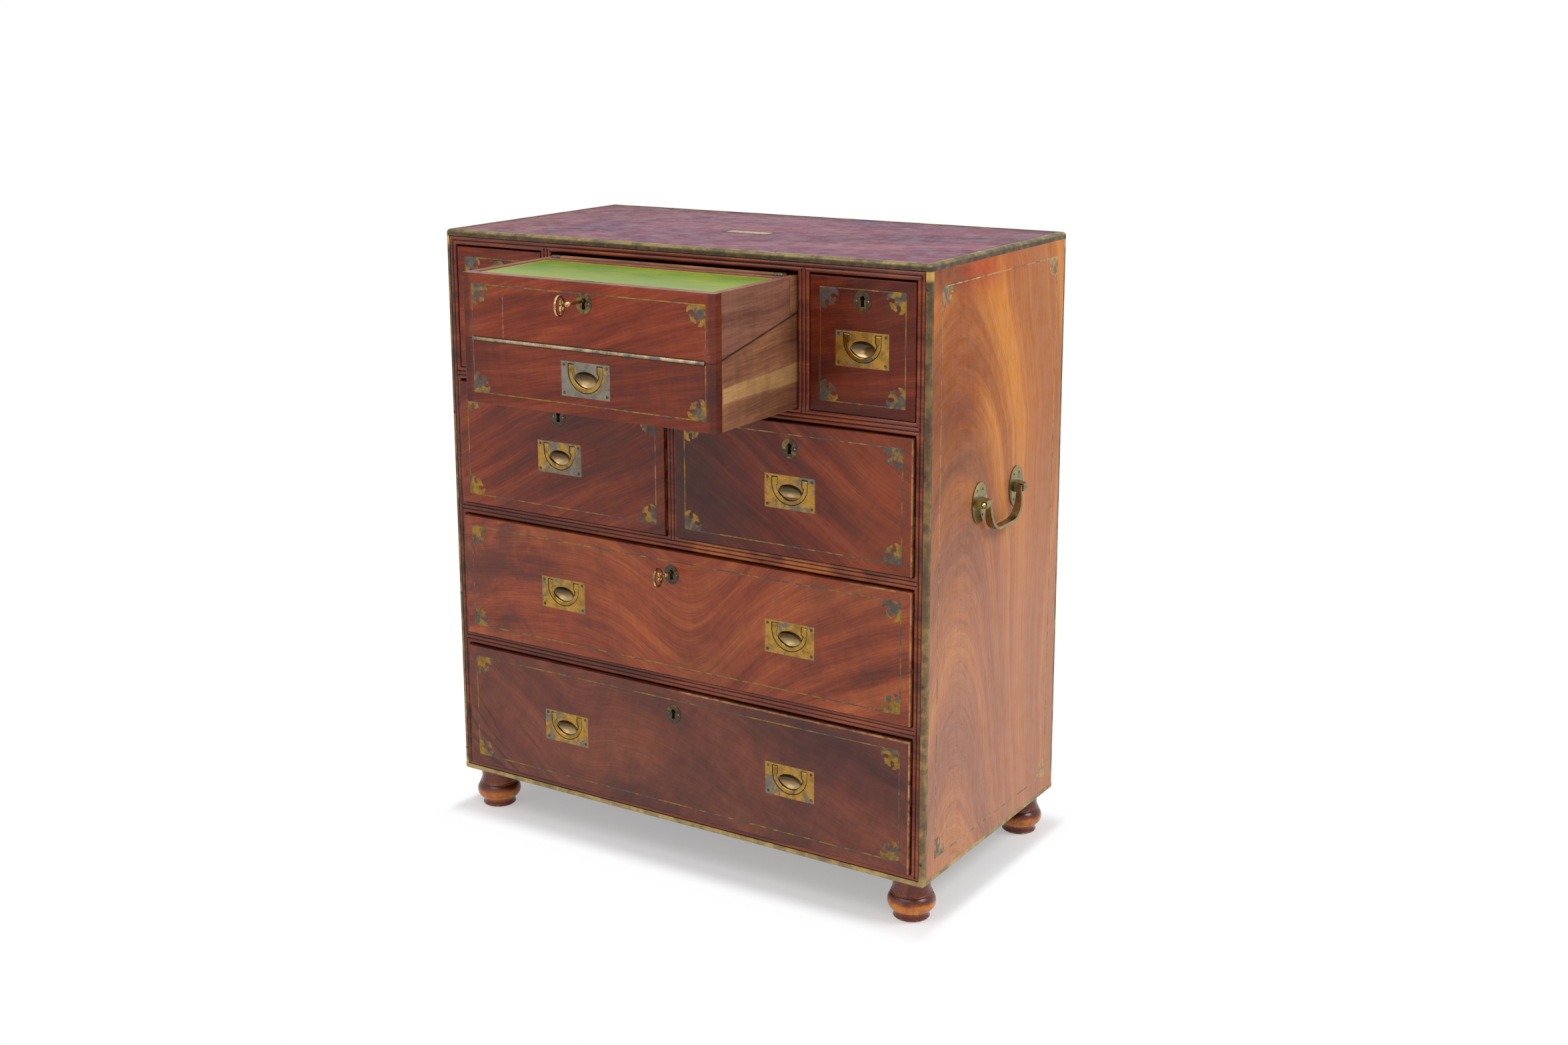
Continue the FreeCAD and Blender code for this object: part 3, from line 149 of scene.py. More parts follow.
class Nodes:
    """A node tree, with short calls for its nodes. ramp and mix take colours as 0-255 sRGB."""

    def __init__(self, tree):
        self.tree = tree
        tree.nodes.clear()

    def node(self, kind, *values, inputs=None, **settings):
        """Adds a node. values fill its inputs in order, and inputs by name. None is passed over."""
        node = self.tree.nodes.new(f"ShaderNode{kind}")
        for key, value in settings.items():
            setattr(node, key, value)
        for socket, value in zip(node.inputs, values):
            self.put(value, socket)
        for key, value in (inputs or {}).items():
            self.put(value, node.inputs[key])
        return node

    def put(self, value, socket):
        if isinstance(value, Value):
            self.tree.links.new(value.socket, socket)
        elif value is not None:
            socket.default_value = value

    def value(self, output, kind, *values, **settings):
        """One output of a new node."""
        return Value(self, self.node(kind, *values, **settings).outputs[output])

    def math(self, operation, a, b=None):
        return self.value(0, "Math", a, b, operation=operation)

    def most(self, a, b):
        return self.math("MAXIMUM", a, b)

    def past(self, value, low, high):
        """How far a coordinate is outside a stretch. It is below 0 inside."""
        return abs(value - (low + high) / 2) - (high - low) / 2

    def vector(self, x, y, z):
        return self.value(0, "CombineXYZ", x, y, z)

    def noise(self, vector, scale=1, detail=2, roughness=0.5, distortion=0):
        inputs = {"Scale": scale, "Detail": detail, "Roughness": roughness, "Distortion": distortion}
        return self.value("Fac", "TexNoise", vector, inputs=inputs)

    def noise_at(self, x, y, z, *character):
        return self.noise(self.vector(x, y, z), 1, *character)

    def step(self, value, low, high, start=0, end=1):
        """A smooth step from start to end as value goes from low to high, which may lie below low."""
        return self.value(0, "MapRange", value, low, high, start, end, interpolation_type="SMOOTHSTEP")

    def ramp(self, value, *stops):
        """stops are (place, colour) pairs."""
        node = self.node("ValToRGB", value)
        ramp = node.color_ramp
        while len(ramp.elements) < len(stops):
            ramp.elements.new(1)
        for element, (place, colour) in zip(ramp.elements, stops):
            element.position = place
            element.color = linear(colour)
        return Value(self, node.outputs[0])

    def mix(self, share, a, b, blend="MIX"):
        """Colour a brought towards colour b by a share."""
        node = self.node("Mix", share, data_type="RGBA", blend_type=blend)
        for socket, colour in zip(node.inputs[6:8], (a, b)):
            self.put(colour if isinstance(colour, Value) else linear(colour), socket)
        return Value(self, node.outputs[2])


class Shader(Nodes):
    """One material's node tree, with the surface's colour so far. Positions are object coordinates."""

    def __init__(self, name):
        self.material = bpy.data.materials.new(name)
        self.material.use_nodes = True
        super().__init__(self.material.node_tree)
        self.position = self.value("Object", "TexCoord")
        axes = self.node("SeparateXYZ", self.position).outputs
        self.x, self.y, self.z = [Value(self, axis) for axis in axes]
        self.colour = None

    def tone(self, share, rgb, blend="MIX"):
        """Brings the surface's colour towards another one by a share."""
        self.colour = self.mix(share, self.colour, rgb, blend)

    def shade(self, amount):
        """Multiplies the surface's colour by a grey value."""
        self.tone(1, self.vector(amount, amount, amount), "MULTIPLY")

    def shifted(self, offset):
        """The position moved by an offset, so that one pattern differs from the next."""
        return self.value(0, "VectorMath", self.position, offset, operation="ADD")

    def outside(self, node):
        """How far a point lies outside a node's box as seen from above. It is below 0 inside."""
        low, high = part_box(node)
        return self.most(self.past(self.x, low.x, high.x), self.past(self.y, low.y, high.y))

    def wobbled(self, value, reach, scale, detail=3, roughness=0.6):
        """A coordinate that wanders by up to about reach either way."""
        return value + (self.noise(self.position, scale, detail, roughness) * (2 * reach) - reach)

    def patches(self, scale, span, shares=(0, 1), detail=3, roughness=0.6):
        """Soft patches, which go from the first share to the second as the noise crosses the span."""
        return self.step(self.noise(self.position, scale, detail, roughness), *span, *shares)

    def rounded_normal(self, radius):
        """The normal with edges seen as if rounded, and how near such an edge is, from 0 to 1."""
        bevel = self.value(0, "Bevel", radius, samples=6)
        flat = self.value("Normal", "NewGeometry")
        turned = self.value("Value", "VectorMath", bevel, flat, operation="DOT_PRODUCT")
        return bevel, self.step(turned, 0.995, 0.8)

    def hollow(self, distance):
        """How deep in a groove or corner a point lies, from 0 in the open to 1."""
        inputs = {"Distance": distance}
        return self.step(self.value("AO", "AmbientOcclusion", inputs=inputs, samples=6), 0.92, 0.35)

    def bump(self, height, distance, strength, normal=None):
        inputs = {"Strength": strength, "Distance": distance, "Height": height, "Normal": normal}
        return self.value(0, "Bump", inputs=inputs)

    def output(self, shader):
        """Puts a shader on the material's output and returns the material."""
        self.node("OutputMaterial", shader)
        return self.material

    def surface(self, **inputs):
        """The material with this colour and these inputs, named with _ for each space."""
        inputs = {key.replace("_", " "): value for key, value in inputs.items()}
        inputs["Base Color"] = self.colour
        return self.output(self.value(0, "BsdfPrincipled", inputs=inputs))


# --- woods ---


def turned_grain(level, upright, angle):
    """Coordinates along and across a grain that runs at an angle, in degrees, from the level axis."""
    cos, sin = math.cos(math.radians(angle)), math.sin(math.radians(angle))
    return level * cos + upright * sin, upright * cos - level * sin


def straight(axes, angle, bend=0, middle=0):
    """Grain at an angle, in degrees, from the first axis towards the second. The third axis runs through
    the board, and bend curves the grain about a middle."""

    def figure(s):
        level, upright, through = [getattr(s, axis) for axis in axes]
        along, across = turned_grain(level, upright, angle)
        offset = level - middle
        return along, across - offset * offset * bend, through

    return figure


def arched(axis_y, bow, narrowing, sway):
    """A figure of nested arches, as from a tree's fork. Their legs steepen away from axis_y, which
    sways, and they are narrower the lower they stand."""

    def figure(s):
        drift = s.noise_at(s.z * 2.6, 0, s.x * 2)
        offset = s.y + (drift * (sway * 2) - (axis_y + sway))
        steepness = s.step(s.z, 0.8, 0.2, bow, bow * narrowing)
        return s.y, s.z + offset * offset * steepness, s.x

    return figure


def swirled(angle, middle, depth, width):
    """A front's grain that dips in nested bows about a middle, and is straight beyond."""

    def figure(s):
        along, across = turned_grain(s.x, s.z, angle)
        offset = (s.x - middle) / width
        square = offset * offset
        return along, across - square / (square + 1) * depth, s.y

    return figure


def wood(name, figure, tones, seed, wander=0.02, band=0.05, fine=1, contrast=1, mottle=0,
         weights=(0.55, 0.28, 0.17), stain=None, worn=(196, 128, 78), wear=0.6, rough=0.38, dirt_and_shade=0,
         dirt_and_shade_reach=9 * MM, coat=0, sheen=0.28, tint=None):
    """Waxed wood. figure gives its grain, and tones are its dark, middle and light colours. weights are
    the shares of broad bands, narrow bands and streaks in it, and contrast is how far they leave the
    middle tone. stain is a colour and its greatest share. A tint colours places of its own."""
    s = Shader(name)
    along, across, through = figure(s)
    place = s.shifted((seed, seed * 1.7, seed * 0.6))
    drift = s.noise(place, 3.2) * (wander * 2) - wander
    across = across + (drift + s.noise(place, 14) * (wander * 0.3)) + seed

    def layer(width, length, *character):
        """A noise drawn out along the grain."""
        return s.noise_at(across / width, along / length, through / length, *character)

    broad = layer(band, band * 9)
    middle = layer(band * 0.28, band * 4, 2, 0.55)
    streaks = layer(2 * MM * fine, 60 * MM, 3, 0.6)
    pits = s.step(layer(0.7 * MM * fine, 9 * MM, 1), 0.6, 0.72)
    cross = layer(60 * MM, 7 * MM)
    mixture = broad * weights[0] + (middle * weights[1] + streaks * weights[2])
    reach = 0.14 / contrast
    s.colour = s.ramp(mixture, *zip((0.5 - reach, 0.5, 0.5 + reach), tones))
    if tint:
        tint(s)
    if stain:
        rgb, share = stain
        patch = s.noise(place, 4.5, 4, 0.62, 0.6) * 0.7 + s.noise(place, 11, 4, 0.6) * 0.3
        s.tone(s.step(patch, 0.45, 0.66, 0, share), rgb)
    s.shade(s.step(streaks, 0.3, 0.7, 0.9, 1.07))
    s.shade(s.step(cross, 0.35, 0.65, 0.95, 1.04))
    if mottle:
        s.shade(s.step(s.noise(place, 34, 3, 0.6, 0.5), 0.3, 0.7, 1 - mottle, 1 + mottle))
    s.shade(1 - pits * 0.22)
    normal, edge = s.rounded_normal(1.6 * MM)
    chips = s.noise(s.position, 160, 3, 0.65) * 0.45 + s.noise(s.position, 9) * 0.55
    s.tone(edge * s.step(chips, 0.44, 0.62) * wear, worn)
    # Darker in grooves and corners found by ambient occlusion: partly dirt, partly painted shade.
    if dirt_and_shade:
        s.shade(1 - s.hollow(dirt_and_shade_reach) * dirt_and_shade)
    scuffs = s.noise(s.position, 38, 4, 0.7)
    roughness = s.step(scuffs, 0.35, 0.7, rough - 0.07, rough + 0.13) + streaks * 0.08
    relief = s.bump(streaks * 0.5 - pits * 0.6, 0.12 * MM, 0.6, normal)
    return s.surface(Roughness=roughness, Normal=relief, Specular_IOR_Level=sheen, Coat_Weight=coat,
                     Coat_Roughness=0.2)


# A tint gives a wood the colours of its own places. Their shares step along x, y or z between places in
# metres, or in the box of the node that they lie on.


def top_tint(s):
    """The top is warmer at its left end, where its colour has not faded, and dark in the split round
    its name plate, beside its rim and towards its back."""
    s.tone(s.step(s.wobbled(s.x, 0.15, 5), -0.12, -0.42, 0, 0.5), (122, 60, 58))
    ragged = s.noise(s.position, 260, 3, 0.7) * 0.016 - 0.003
    s.tone(s.step(s.outside("name_plate") - ragged, 0.003, 0, 0, 0.85), (44, 26, 24))
    s.tone(s.step(s.outside("brass_edgings"), -0.018, -0.0125, 0, 0.7), (52, 26, 30))
    s.tone(s.step(s.y, 0.165, 0.205, 0, 0.5), (84, 48, 46))


def side_tint(s):
    """The side is deep red at its top front and brighter to the rear, and is paler and rosier towards
    the floor as a painted reflection of the floor.
    """
    s.tone(s.step(s.wobbled(s.y, 0.08, 5, 2, 0.5), -0.04, 0.16, 0, 0.55), (204, 126, 64))
    # Painted reflection of the floor: the side is paler and rosier lower down.
    s.tone(s.step(s.z, 0.82, 0.32, 0, 0.6), (196, 142, 120))
    cloud = s.patches(7, (0.34, 0.6), (0.4, 1))
    front = s.step(s.y, 0.08, -0.16) * s.step(s.z, 0.58, 0.92)
    s.tone(front * cloud, (226, 196, 150), "MULTIPLY")
    smoke = s.step(abs(s.z - 0.8), 0.09, 0.02) * s.step(s.y, 0, -0.12)
    s.tone(smoke, (214, 196, 186), "MULTIPLY")
    corner = s.step(s.y, 0.14, -0.06) * s.step(s.z, 0.94, 0.982)
    ember = s.mix(s.step(s.y, -0.08, -0.17), (178, 70, 16), (104, 40, 20))
    s.tone(corner * cloud * 0.9, ember)


def rubbed_rims(s, node, top_from=None):
    """A front's right edge is rubbed pale, and so is its top edge from the place top_from on."""
    low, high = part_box(node)
    rim = s.step(s.x, high.x - 2.6 * MM, high.x - 1 * MM)
    if top_from is not None:
        top = s.step(s.z, high.z - 3 * MM, high.z - 1.4 * MM)
        rim = s.most(rim, top * s.step(s.x, top_from, top_from + 0.06))
    near = s.step(s.y, low.y + 4 * MM, low.y + 2.4 * MM)
    broken = s.patches(60, (0.36, 0.6), (0.15, 0.9), roughness=0.7)
    s.tone(rim * (near * broken), (214, 156, 98))


def scratched(s):
    """A pale upright scratch on the writing lid's front, whose top edge is a duller brown than the face,
    as the face's colour is pushed redder to make up for the pale sheen it reflects.
    """
    line = s.step(abs(s.wobbled(s.x, 0.002, 24, 2, 0.5) + 0.152), 0.0012, 0.0004)
    reach = s.step(s.z, 0.951, 0.943) * s.step(s.z, 0.88, 0.888)
    broken = s.patches(90, (0.36, 0.56), roughness=0.7)
    s.tone(line * reach * broken * 0.6, (196, 148, 132))
    smoked_ends(s)
    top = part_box("writing_lid_front")[1].z
    # The top edge is a duller brown than the face, whose colour is pushed redder against the sheen it
    # reflects.
    s.tone(s.step(s.z, top - 0.6 * MM, top - 0.2 * MM, 0, 0.8), (118, 74, 60))


def smoked_ends(s):
    """The writing box's fronts are smoked dark outside their inlay."""
    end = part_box("writing_lid_front")[1].x
    from_middle = s.wobbled(abs(s.x), 7 * MM, 30)
    s.tone(s.step(from_middle, end - 17 * MM, end - 8 * MM, 0, 0.55), (58, 28, 24))


def painted_box_shadow_and_orange_end(s):
    """The second row's right front has a painted shadow of the writing box at its left end and is rubbed
    to orange at its right end.
    """
    across = s.wobbled(s.x, 0.06, 9)
    s.tone(s.step(across, 0.26, 0.38, 0, 0.5), (162, 76, 38))
    # Painted shadow of the writing box over the front's left end.
    s.tone(s.step(across, 0.2, 0.06, 0, 0.62), (58, 32, 30))
    rubbed_rims(s, "mid_right_front")


def lower_tint(s):
    """The third row's front is smoked dark at its left end."""
    cloud = s.step(s.noise(s.position, 11, 4, 0.65, 0.8), 0.38, 0.62)
    s.tone(s.step(s.x, -0.12, -0.36) * cloud * 0.62, (70, 36, 36))
    rubbed_rims(s, "lower_front", 0.3)


def bottom_tint(s):
    """Dark crotch strokes cross the bottom front's left end, and a warm cloud lies left of its lock."""
    slant = s.x * 0.62 + s.z * 0.78 + s.noise(s.position, 9, 3, 0.6) * 0.06
    strokes = s.step(s.noise_at(slant * 90, s.x * 6, 0), 0.55, 0.66)
    left = s.step(s.x, -0.2, -0.3) * s.step(s.z, 0.24, 0.17)
    s.tone(left * strokes * 0.6, (52, 24, 24))
    warm = s.step(abs(s.x + 0.02), 0.22, 0.04) * s.step(s.z, 0.28, 0.22)
    s.tone(warm * s.patches(14, (0.38, 0.6)) * 0.3, (150, 78, 48))
    rubbed_rims(s, "bottom_front", -0.02)


def turned_tint(s):
    """A foot's bulb is golden, its shoulder is painted dark as the shade under the chest, its neck and
    base are dark, and its rim is chipped.
    """
    height = s.wobbled(s.z, 4 * MM, 60)
    bulb = s.step(height, 10 * MM, 16 * MM) * s.step(height, 32 * MM, 26 * MM)
    s.tone(bulb * s.patches(90, (0.35, 0.62), (0.55, 1)) * 0.9, (222, 136, 46))
    # Painted shade: the shoulder under the chest is darkened.
    shoulder = s.step(height, 30 * MM, 36 * MM) * s.step(height, 42.5 * MM, 40.5 * MM)
    s.tone(shoulder * 0.75, (62, 20, 12))
    s.tone(s.step(height, 42.5 * MM, 44.5 * MM, 0, 0.55), (84, 34, 22))
    s.tone(s.step(height, 12 * MM, 7 * MM, 0, 0.6), (104, 40, 26))
    chips = s.patches(130, (0.5, 0.6), roughness=0.7)
    s.tone(s.step(s.z, 3.5 * MM, 1.8 * MM) * chips, (206, 160, 110))


def writing_side_tint(s):
    """A pale streak of sapwood runs along the writing box's lower side."""
    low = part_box("writing_base_box")[0]
    height = s.wobbled(s.z - low.z, 4 * MM, 9, 2, 0.5)
    tilted = height - (s.y - low.y) * 0.04
    sapwood = s.step(height, 38.5 * MM, 41.5 * MM) * s.step(tilted, 61.5 * MM, 59.5 * MM)
    behind_front = s.step(s.y, low.y + 1 * MM, low.y + 4 * MM)
    fibres = s.step(s.noise_at(s.z * 900, s.y * 30, 0, 3), 0.3, 0.7, 0.62, 0.95)
    s.tone(sapwood * behind_front * fibres, (204, 160, 100))
    open_seam(s)


def open_seam(s):
    """The dark line of the seam between the writing box's lid and its base, on the box's sides."""
    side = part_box("writing_base_box")[1].x
    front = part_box("writing_base_front")[0]
    rise = (s.y - front.y) * SEAM_SLOPE + (front.z + SEAM_HEIGHT)
    near = s.step(abs(s.z - rise), 2.2 * MM, 1 * MM)
    outside = s.step(abs(s.x), side - 1 * MM, side - 0.4 * MM)
    s.tone(near * outside * 0.85, (26, 15, 11))


def rail_tint(s):
    """The rail above the third row is golden on its right half, partly wear and partly a painted
    highlight, and bits of the others are worn.
    """
    rail = s.step(abs(s.z - 0.5405), 0.012, 0.008)
    right = s.step(s.x, -0.08, 0.05) * s.step(s.x, 0.43, 0.38)
    gold = s.patches(18, (0.3, 0.6), roughness=0.5)
    # Partly wear and partly a painted highlight: gold along the rail's right half.
    s.tone(rail * right * gold * 0.85, (204, 116, 58))
    s.shade(s.step(s.x, -0.05, -0.25, 1, 0.72))
    s.tone(s.patches(9, (0.54, 0.66), (0, 0.35)), (150, 74, 44))


# --- metals and leather ---


def brass(name, gold, grey, bare, scale, rough, seed, old=(96, 74, 34), spread=0.03, dirt_and_shade=0.75,
          rubbed=0, face=None, metal=1, tint=None):
    """Old brass: patches rubbed to gold beside grey tarnish. bare is gold's share, spread is how soft
    the patches' edges are, rubbed is how bare the metal's own edges are, and metal is how far it shines.
    face is the y of a handle plate's face. A tint colours places and returns which of them are dull."""
    s = Shader(name)
    place = s.shifted((seed, -seed, seed * 2.3))
    level = s.noise(place, scale, 5, 0.62, 0.4) * 0.65 + s.noise(place, scale * 0.22) * 0.35
    edge_at = 0.5 + (0.5 - bare) * 0.22
    gilt = s.step(level, edge_at - spread, edge_at + spread)
    brown = s.step(s.noise(place, scale * 1.9, 4, 0.6), 0.4, 0.66)
    dull = s.mix(brown * 0.35, grey, [c * 0.72 for c in grey])
    s.colour = s.mix(gilt, dull, s.mix(brown * 0.55, gold, old))
    ring = s.step(level, edge_at - spread * 2.6, edge_at - spread) * (1 - gilt)
    s.shade(1 - ring * 0.25)
    # Darker in hollows and corners found by ambient occlusion: partly dirt, partly painted shade.
    s.shade(1 - s.hollow(5 * MM) * dirt_and_shade)
    normal, edge = s.rounded_normal(0.5 * MM)
    if rubbed:
        s.tone(edge * rubbed, [min(255, c * 1.2) for c in gold])
    shine = 1 - tint(s) * 0.85 if tint else 1
    specks = s.noise(place, 420, 3, 0.6)
    s.shade(s.step(specks, 0.28, 0.72, 0.86, 1.08))
    if face is not None:
        # The cup gets a painted reflection, pale where it faces up and dark where it faces down.
        cup = s.step(s.y, face + 0.7 * MM, face + 1.6 * MM)
        s.tone(cup, cup_painted_reflection(s))
        gilt = s.most(gilt, cup)
        specks = specks * (1 - cup * 0.7)
    roughness = s.step(gilt, 0, 1, rough + 0.16, rough - 0.06) + (specks * 0.14 - 0.07)
    relief = s.bump(specks * 0.25 - gilt * 0.5, 0.06 * MM, 0.6, normal)
    metallic = s.step(gilt, 0, 1, 0.78 * metal, metal) * shine
    return s.surface(Metallic=metallic, Roughness=roughness, Normal=relief)


def cup_painted_reflection(s):
    """The cup behind a handle plate's face is rubbed clean, with a painted reflection: pale where it
    faces up and dark below.
    """
    up = s.value(2, "SeparateXYZ", s.value("Normal", "NewGeometry"))
    return s.ramp(up * 0.5 + 0.5, (0.22, (44, 32, 18)), (0.45, (104, 80, 48)), (0.62, (166, 138, 92)),
                  (0.88, (204, 178, 130)))


def edge_tint(s):
    """Edgings and bindings carry painted light, lighter low down and darker upwards. The bindings are
    bare below the top edging, which is worn along its upper edge. The lower edging is painted brighter
    all over in patches, a painted reflection of the pale floor. The top's back edging is brown and dull."""
    low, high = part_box("brass_edgings")
    # Painted light: the brass is lighter low down and darker upwards.
    s.shade(s.step(s.z, 0.12, 1, 1.35, 0.78))
    bare_end = s.step(s.z, high.z - 28 * MM, high.z - 21 * MM)
    below_rim = s.step(s.z, high.z - 10.7 * MM, high.z - 11.7 * MM)
    s.tone(bare_end * below_rim * 0.8, (214, 176, 92))
    rim = s.step(s.z, high.z - 5.5 * MM, high.z - 2.5 * MM)
    s.tone(rim * s.patches(30, (0.4, 0.6), (0.2, 0.9), 4, 0.65), (148, 128, 72))
    # Painted reflection of the pale floor: the lower edging is brightened all over in patches.
    bottom = s.step(s.z, low.z + 24 * MM, low.z + 10 * MM)
    s.tone(bottom * s.patches(30, (0.36, 0.62), (0.35, 0.95), 4, 0.65), (196, 168, 106))
    behind = rim * s.step(s.y, high.y - 16 * MM, high.y - 13 * MM)
    s.tone(behind, s.ramp(s.noise(s.position, 9, 4, 0.65), (0.4, (72, 40, 22)), (0.5, (104, 76, 26)),
                          (0.6, (168, 138, 48))))
    return behind


def steel():
    """Dark, dull steel of screws and straps."""
    s = Shader("screws")
    grain = s.noise(s.position, 260, 4, 0.6)
    s.colour = s.ramp(grain, (0.35, (46, 40, 34)), (0.55, (92, 82, 66)), (0.75, (128, 112, 82)))
    relief = s.bump(grain, 0.05 * MM, 0.5, s.rounded_normal(0.3 * MM)[0])
    return s.surface(Metallic=0.85, Roughness=grain * 0.3 + 0.32, Normal=relief)


def leather():
    """Green skiver: brighter towards the back, paler towards the front with a painted glare, creased
    towards the front, gilt at its rim.
    """
    s = Shader("writing_leather")
    low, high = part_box("writing_leather")
    # Painted glare: the leather is paler towards its front and a deeper green towards its back.
    clear_of_glare = s.step(s.wobbled(s.y, 0.05, 7), low.y, high.y - 0.02)
    s.colour = s.mix(clear_of_glare, (138, 158, 88), (100, 130, 6))
    blotch = s.patches(12, (0.42, 0.68), detail=4, roughness=0.65)
    s.tone(blotch * 0.4, (168, 168, 62))
    crease = s.noise_at(s.x * 9, s.y * 60, 0, 4, 0.6, 0.8)
    s.shade(s.step(crease, 0.3, 0.55, 0.84, 1))
    inside = s.outside("writing_leather") * -1
    rim = s.step(s.wobbled(inside, 5 * MM, 70), 5 * MM, 2.2 * MM, 0, 0.9)
    s.tone(rim, (196, 168, 78))
    scratch = s.noise_at((s.x + s.y * 1.4) * 30, s.y * 260, 0, 4, 0.7, 1.2)
    s.tone(s.step(scratch, 0.66, 0.74, 0, 0.5), (206, 196, 110))
    cells = s.value("Distance", "TexVoronoi", s.position, inputs={"Scale": 900},
                    feature="DISTANCE_TO_EDGE")
    height = s.step(cells, 0, 0.12, 0, 0.4) + crease * 2
    return s.surface(Roughness=s.step(blotch, 0, 1, 0.48, 0.58), Specular_IOR_Level=0.2,
                     Normal=s.bump(height, 0.25 * MM, 0.6))


# --- meshes ---


def added(name, data):
    """A new object of the scene."""
    thing = bpy.data.objects.new(name, data)
    scene.collection.objects.link(thing)
    return thing


def solid(name, mesh, material):
    """A finished bmesh as a new object."""
    data = bpy.data.meshes.new(name)
    mesh.to_mesh(data)
    mesh.free()
    data.materials.append(material)
    return added(name, data)


def smooth(thing):
    for polygon in thing.data.polygons:
        polygon.use_smooth = True
    thing.data.set_sharp_from_angle(angle=SMOOTH_ANGLE)


def piece(name, mesh, body, material, rounded=True):
    """A finished bmesh as an object that rides on a body."""
    bmesh.ops.recalc_face_normals(mesh, faces=mesh.faces)
    thing = solid(name, mesh, METALS[material])
    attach(thing, body)
    if rounded:
        smooth(thing)


def ring_of(mesh, points):
    return [mesh.verts.new(point) for point in points]


def join(mesh, rings, closed=True):
    """Faces between each ring of points and the next one."""
    for low, high in zip(rings, rings[1:]):
        count = len(low)
        for i in range(count if closed else count - 1):
            j = (i + 1) % count
            mesh.faces.new((low[i], low[j], high[j], high[i]))


class Panel:
    """A flat rectangle of the object: u runs along it, v runs up it, and out is the way it faces."""

    def __init__(self, origin, u_axis, v_axis, width, height):
        self.origin, self.u_axis, self.v_axis = Vector(origin), Vector(u_axis), Vector(v_axis)
        self.width, self.height = width, height
        self.out = self.u_axis.cross(self.v_axis)

    def at(self, u, v, out=0):
        return self.origin + self.u_axis * u + self.v_axis * v + self.out * out


def raised(mesh, panel, outline, proud, chamfer):
    """A flat piece of this outline on the panel, standing proud, with a chamfered upper edge."""
    levels = ((outline, -INLAY_DEPTH), (outline, proud - chamfer), (inset(outline, chamfer), proud))
    rings = [ring_of(mesh, [panel.at(u, v, out) for u, v in points]) for points, out in levels]
    join(mesh, rings)
    mesh.faces.new(rings[-1])


def inset(outline, distance):
    """The outline moved inwards, each point square to the line between its neighbours."""
    area = sum(a[0] * b[1] - b[0] * a[1] for a, b in zip(outline, outline[1:] + outline[:1]))
    way = 1 if area > 0 else -1
    moved = []
    for i, (u, v) in enumerate(outline):
        before, after = outline[i - 1], outline[(i + 1) % len(outline)]
        du, dv = after[0] - before[0], after[1] - before[1]
        length = math.hypot(du, dv) or 1
        moved.append((u - way * dv / length * distance, v + way * du / length * distance))
    return moved


def curve_through(points):
    """A smooth line through the points, as a Catmull-Rom spline. The ends are kept."""
    steps = 5
    line = []
    for i in range(len(points) - 1):
        before, start = points[max(i - 1, 0)], points[i]
        end, after = points[i + 1], points[min(i + 2, len(points) - 1)]
        for t in [k / steps for k in range(steps)]:
            line.append(tuple(0.5 * (2 * b + (c - a) * t + (2 * a - 5 * b + 4 * c - d) * t * t
                                     + (3 * b - a - 3 * c + d) * t ** 3)
                              for a, b, c, d in zip(before, start, end, after)))
    line.append(points[-1])
    return line


def fret_outline():
    """A corner fret, in mm from its corner: arms that end in hooks, with eyes and a leaf between."""
    arm = [(0, 0), (0.2, 22)]
    hook = curve_through([(0.2, 22), (1.2, 27), (4.6, 30.4), (9.2, 31.4), (11.6, 30.6), (11, 28.6),
                          (9, 26.2), (8.6, 23.4)])
    eye = curve_through([(8.6, 23.4), (9, 19.9), (11.6, 17.9), (14.6, 19.2), (15.6, 22), (14.2, 24)])
    leaf = curve_through([(14.2, 24), (14.4, 26.6), (16.4, 27.6), (19.4, 26), (22, 24.2)])
    half = arm + hook[1:] + eye[1:] + leaf[1:] + [(24.6, 24.6)]
    other = [(v, u) for u, v in reversed(half[1:-1])]
    return [(u * MM, v * MM) for u, v in half + other]


FRET = fret_outline()


def string(mesh, panel, start, end, bulge):
    """A brass line from start to end, with a slightly uneven width, as let in by hand."""
    (u0, v0), (u1, v1) = start, end
    length = math.hypot(u1 - u0, v1 - v0)
    du, dv = (u1 - u0) / length, (v1 - v0) / length
    count = max(2, int(length / STRING_STEP))
    left, right = [], []
    for i in range(count + 1):
        d = length * i / count
        half = STRING_WIDTH / 2 * (1 + 0.14 * math.sin(i * 2.3 * bulge + u0 * 90))
        sway = 0.12 * MM * math.sin(i * 1.7 + v0 * 70)
        u, v = u0 + du * d - dv * sway, v0 + dv * d + du * sway
        left.append((u - dv * half, v + du * half))
        right.append((u + dv * half, v - du * half))
    raised(mesh, panel, left + right[::-1], STRING_PROUD, STRING_CHAMFER)


def inlay(name, body, panel, path, corners, material="inlay"):
    """Stringing along a path of (u, v) points, and frets at corners, which are (u, v, way_u, way_v)."""
    mesh = bmesh.new()
    for i, (start, end) in enumerate(zip(path, path[1:])):
        string(mesh, panel, start, end, 1 + 0.3 * i)
    for u, v, way_u, way_v in corners:
        outline = [(u + way_u * along, v + way_v * up) for along, up in FRET]
        raised(mesh, panel, outline, FRET_PROUD, FRET_CHAMFER)
    piece(name, mesh, body, material, rounded=False)


def inlaid_rectangle(name, body, panel, inset_by, material="inlay"):
    u0, v0, u1, v1 = inset_by, inset_by, panel.width - inset_by, panel.height - inset_by
    path = [(u0, v0), (u1, v0), (u1, v1), (u0, v1), (u0, v0)]
    corners = [(u0, v0, 1, 1), (u1, v0, -1, 1), (u1, v1, -1, -1), (u0, v1, 1, -1)]
    inlay(name, body, panel, path, corners, material)


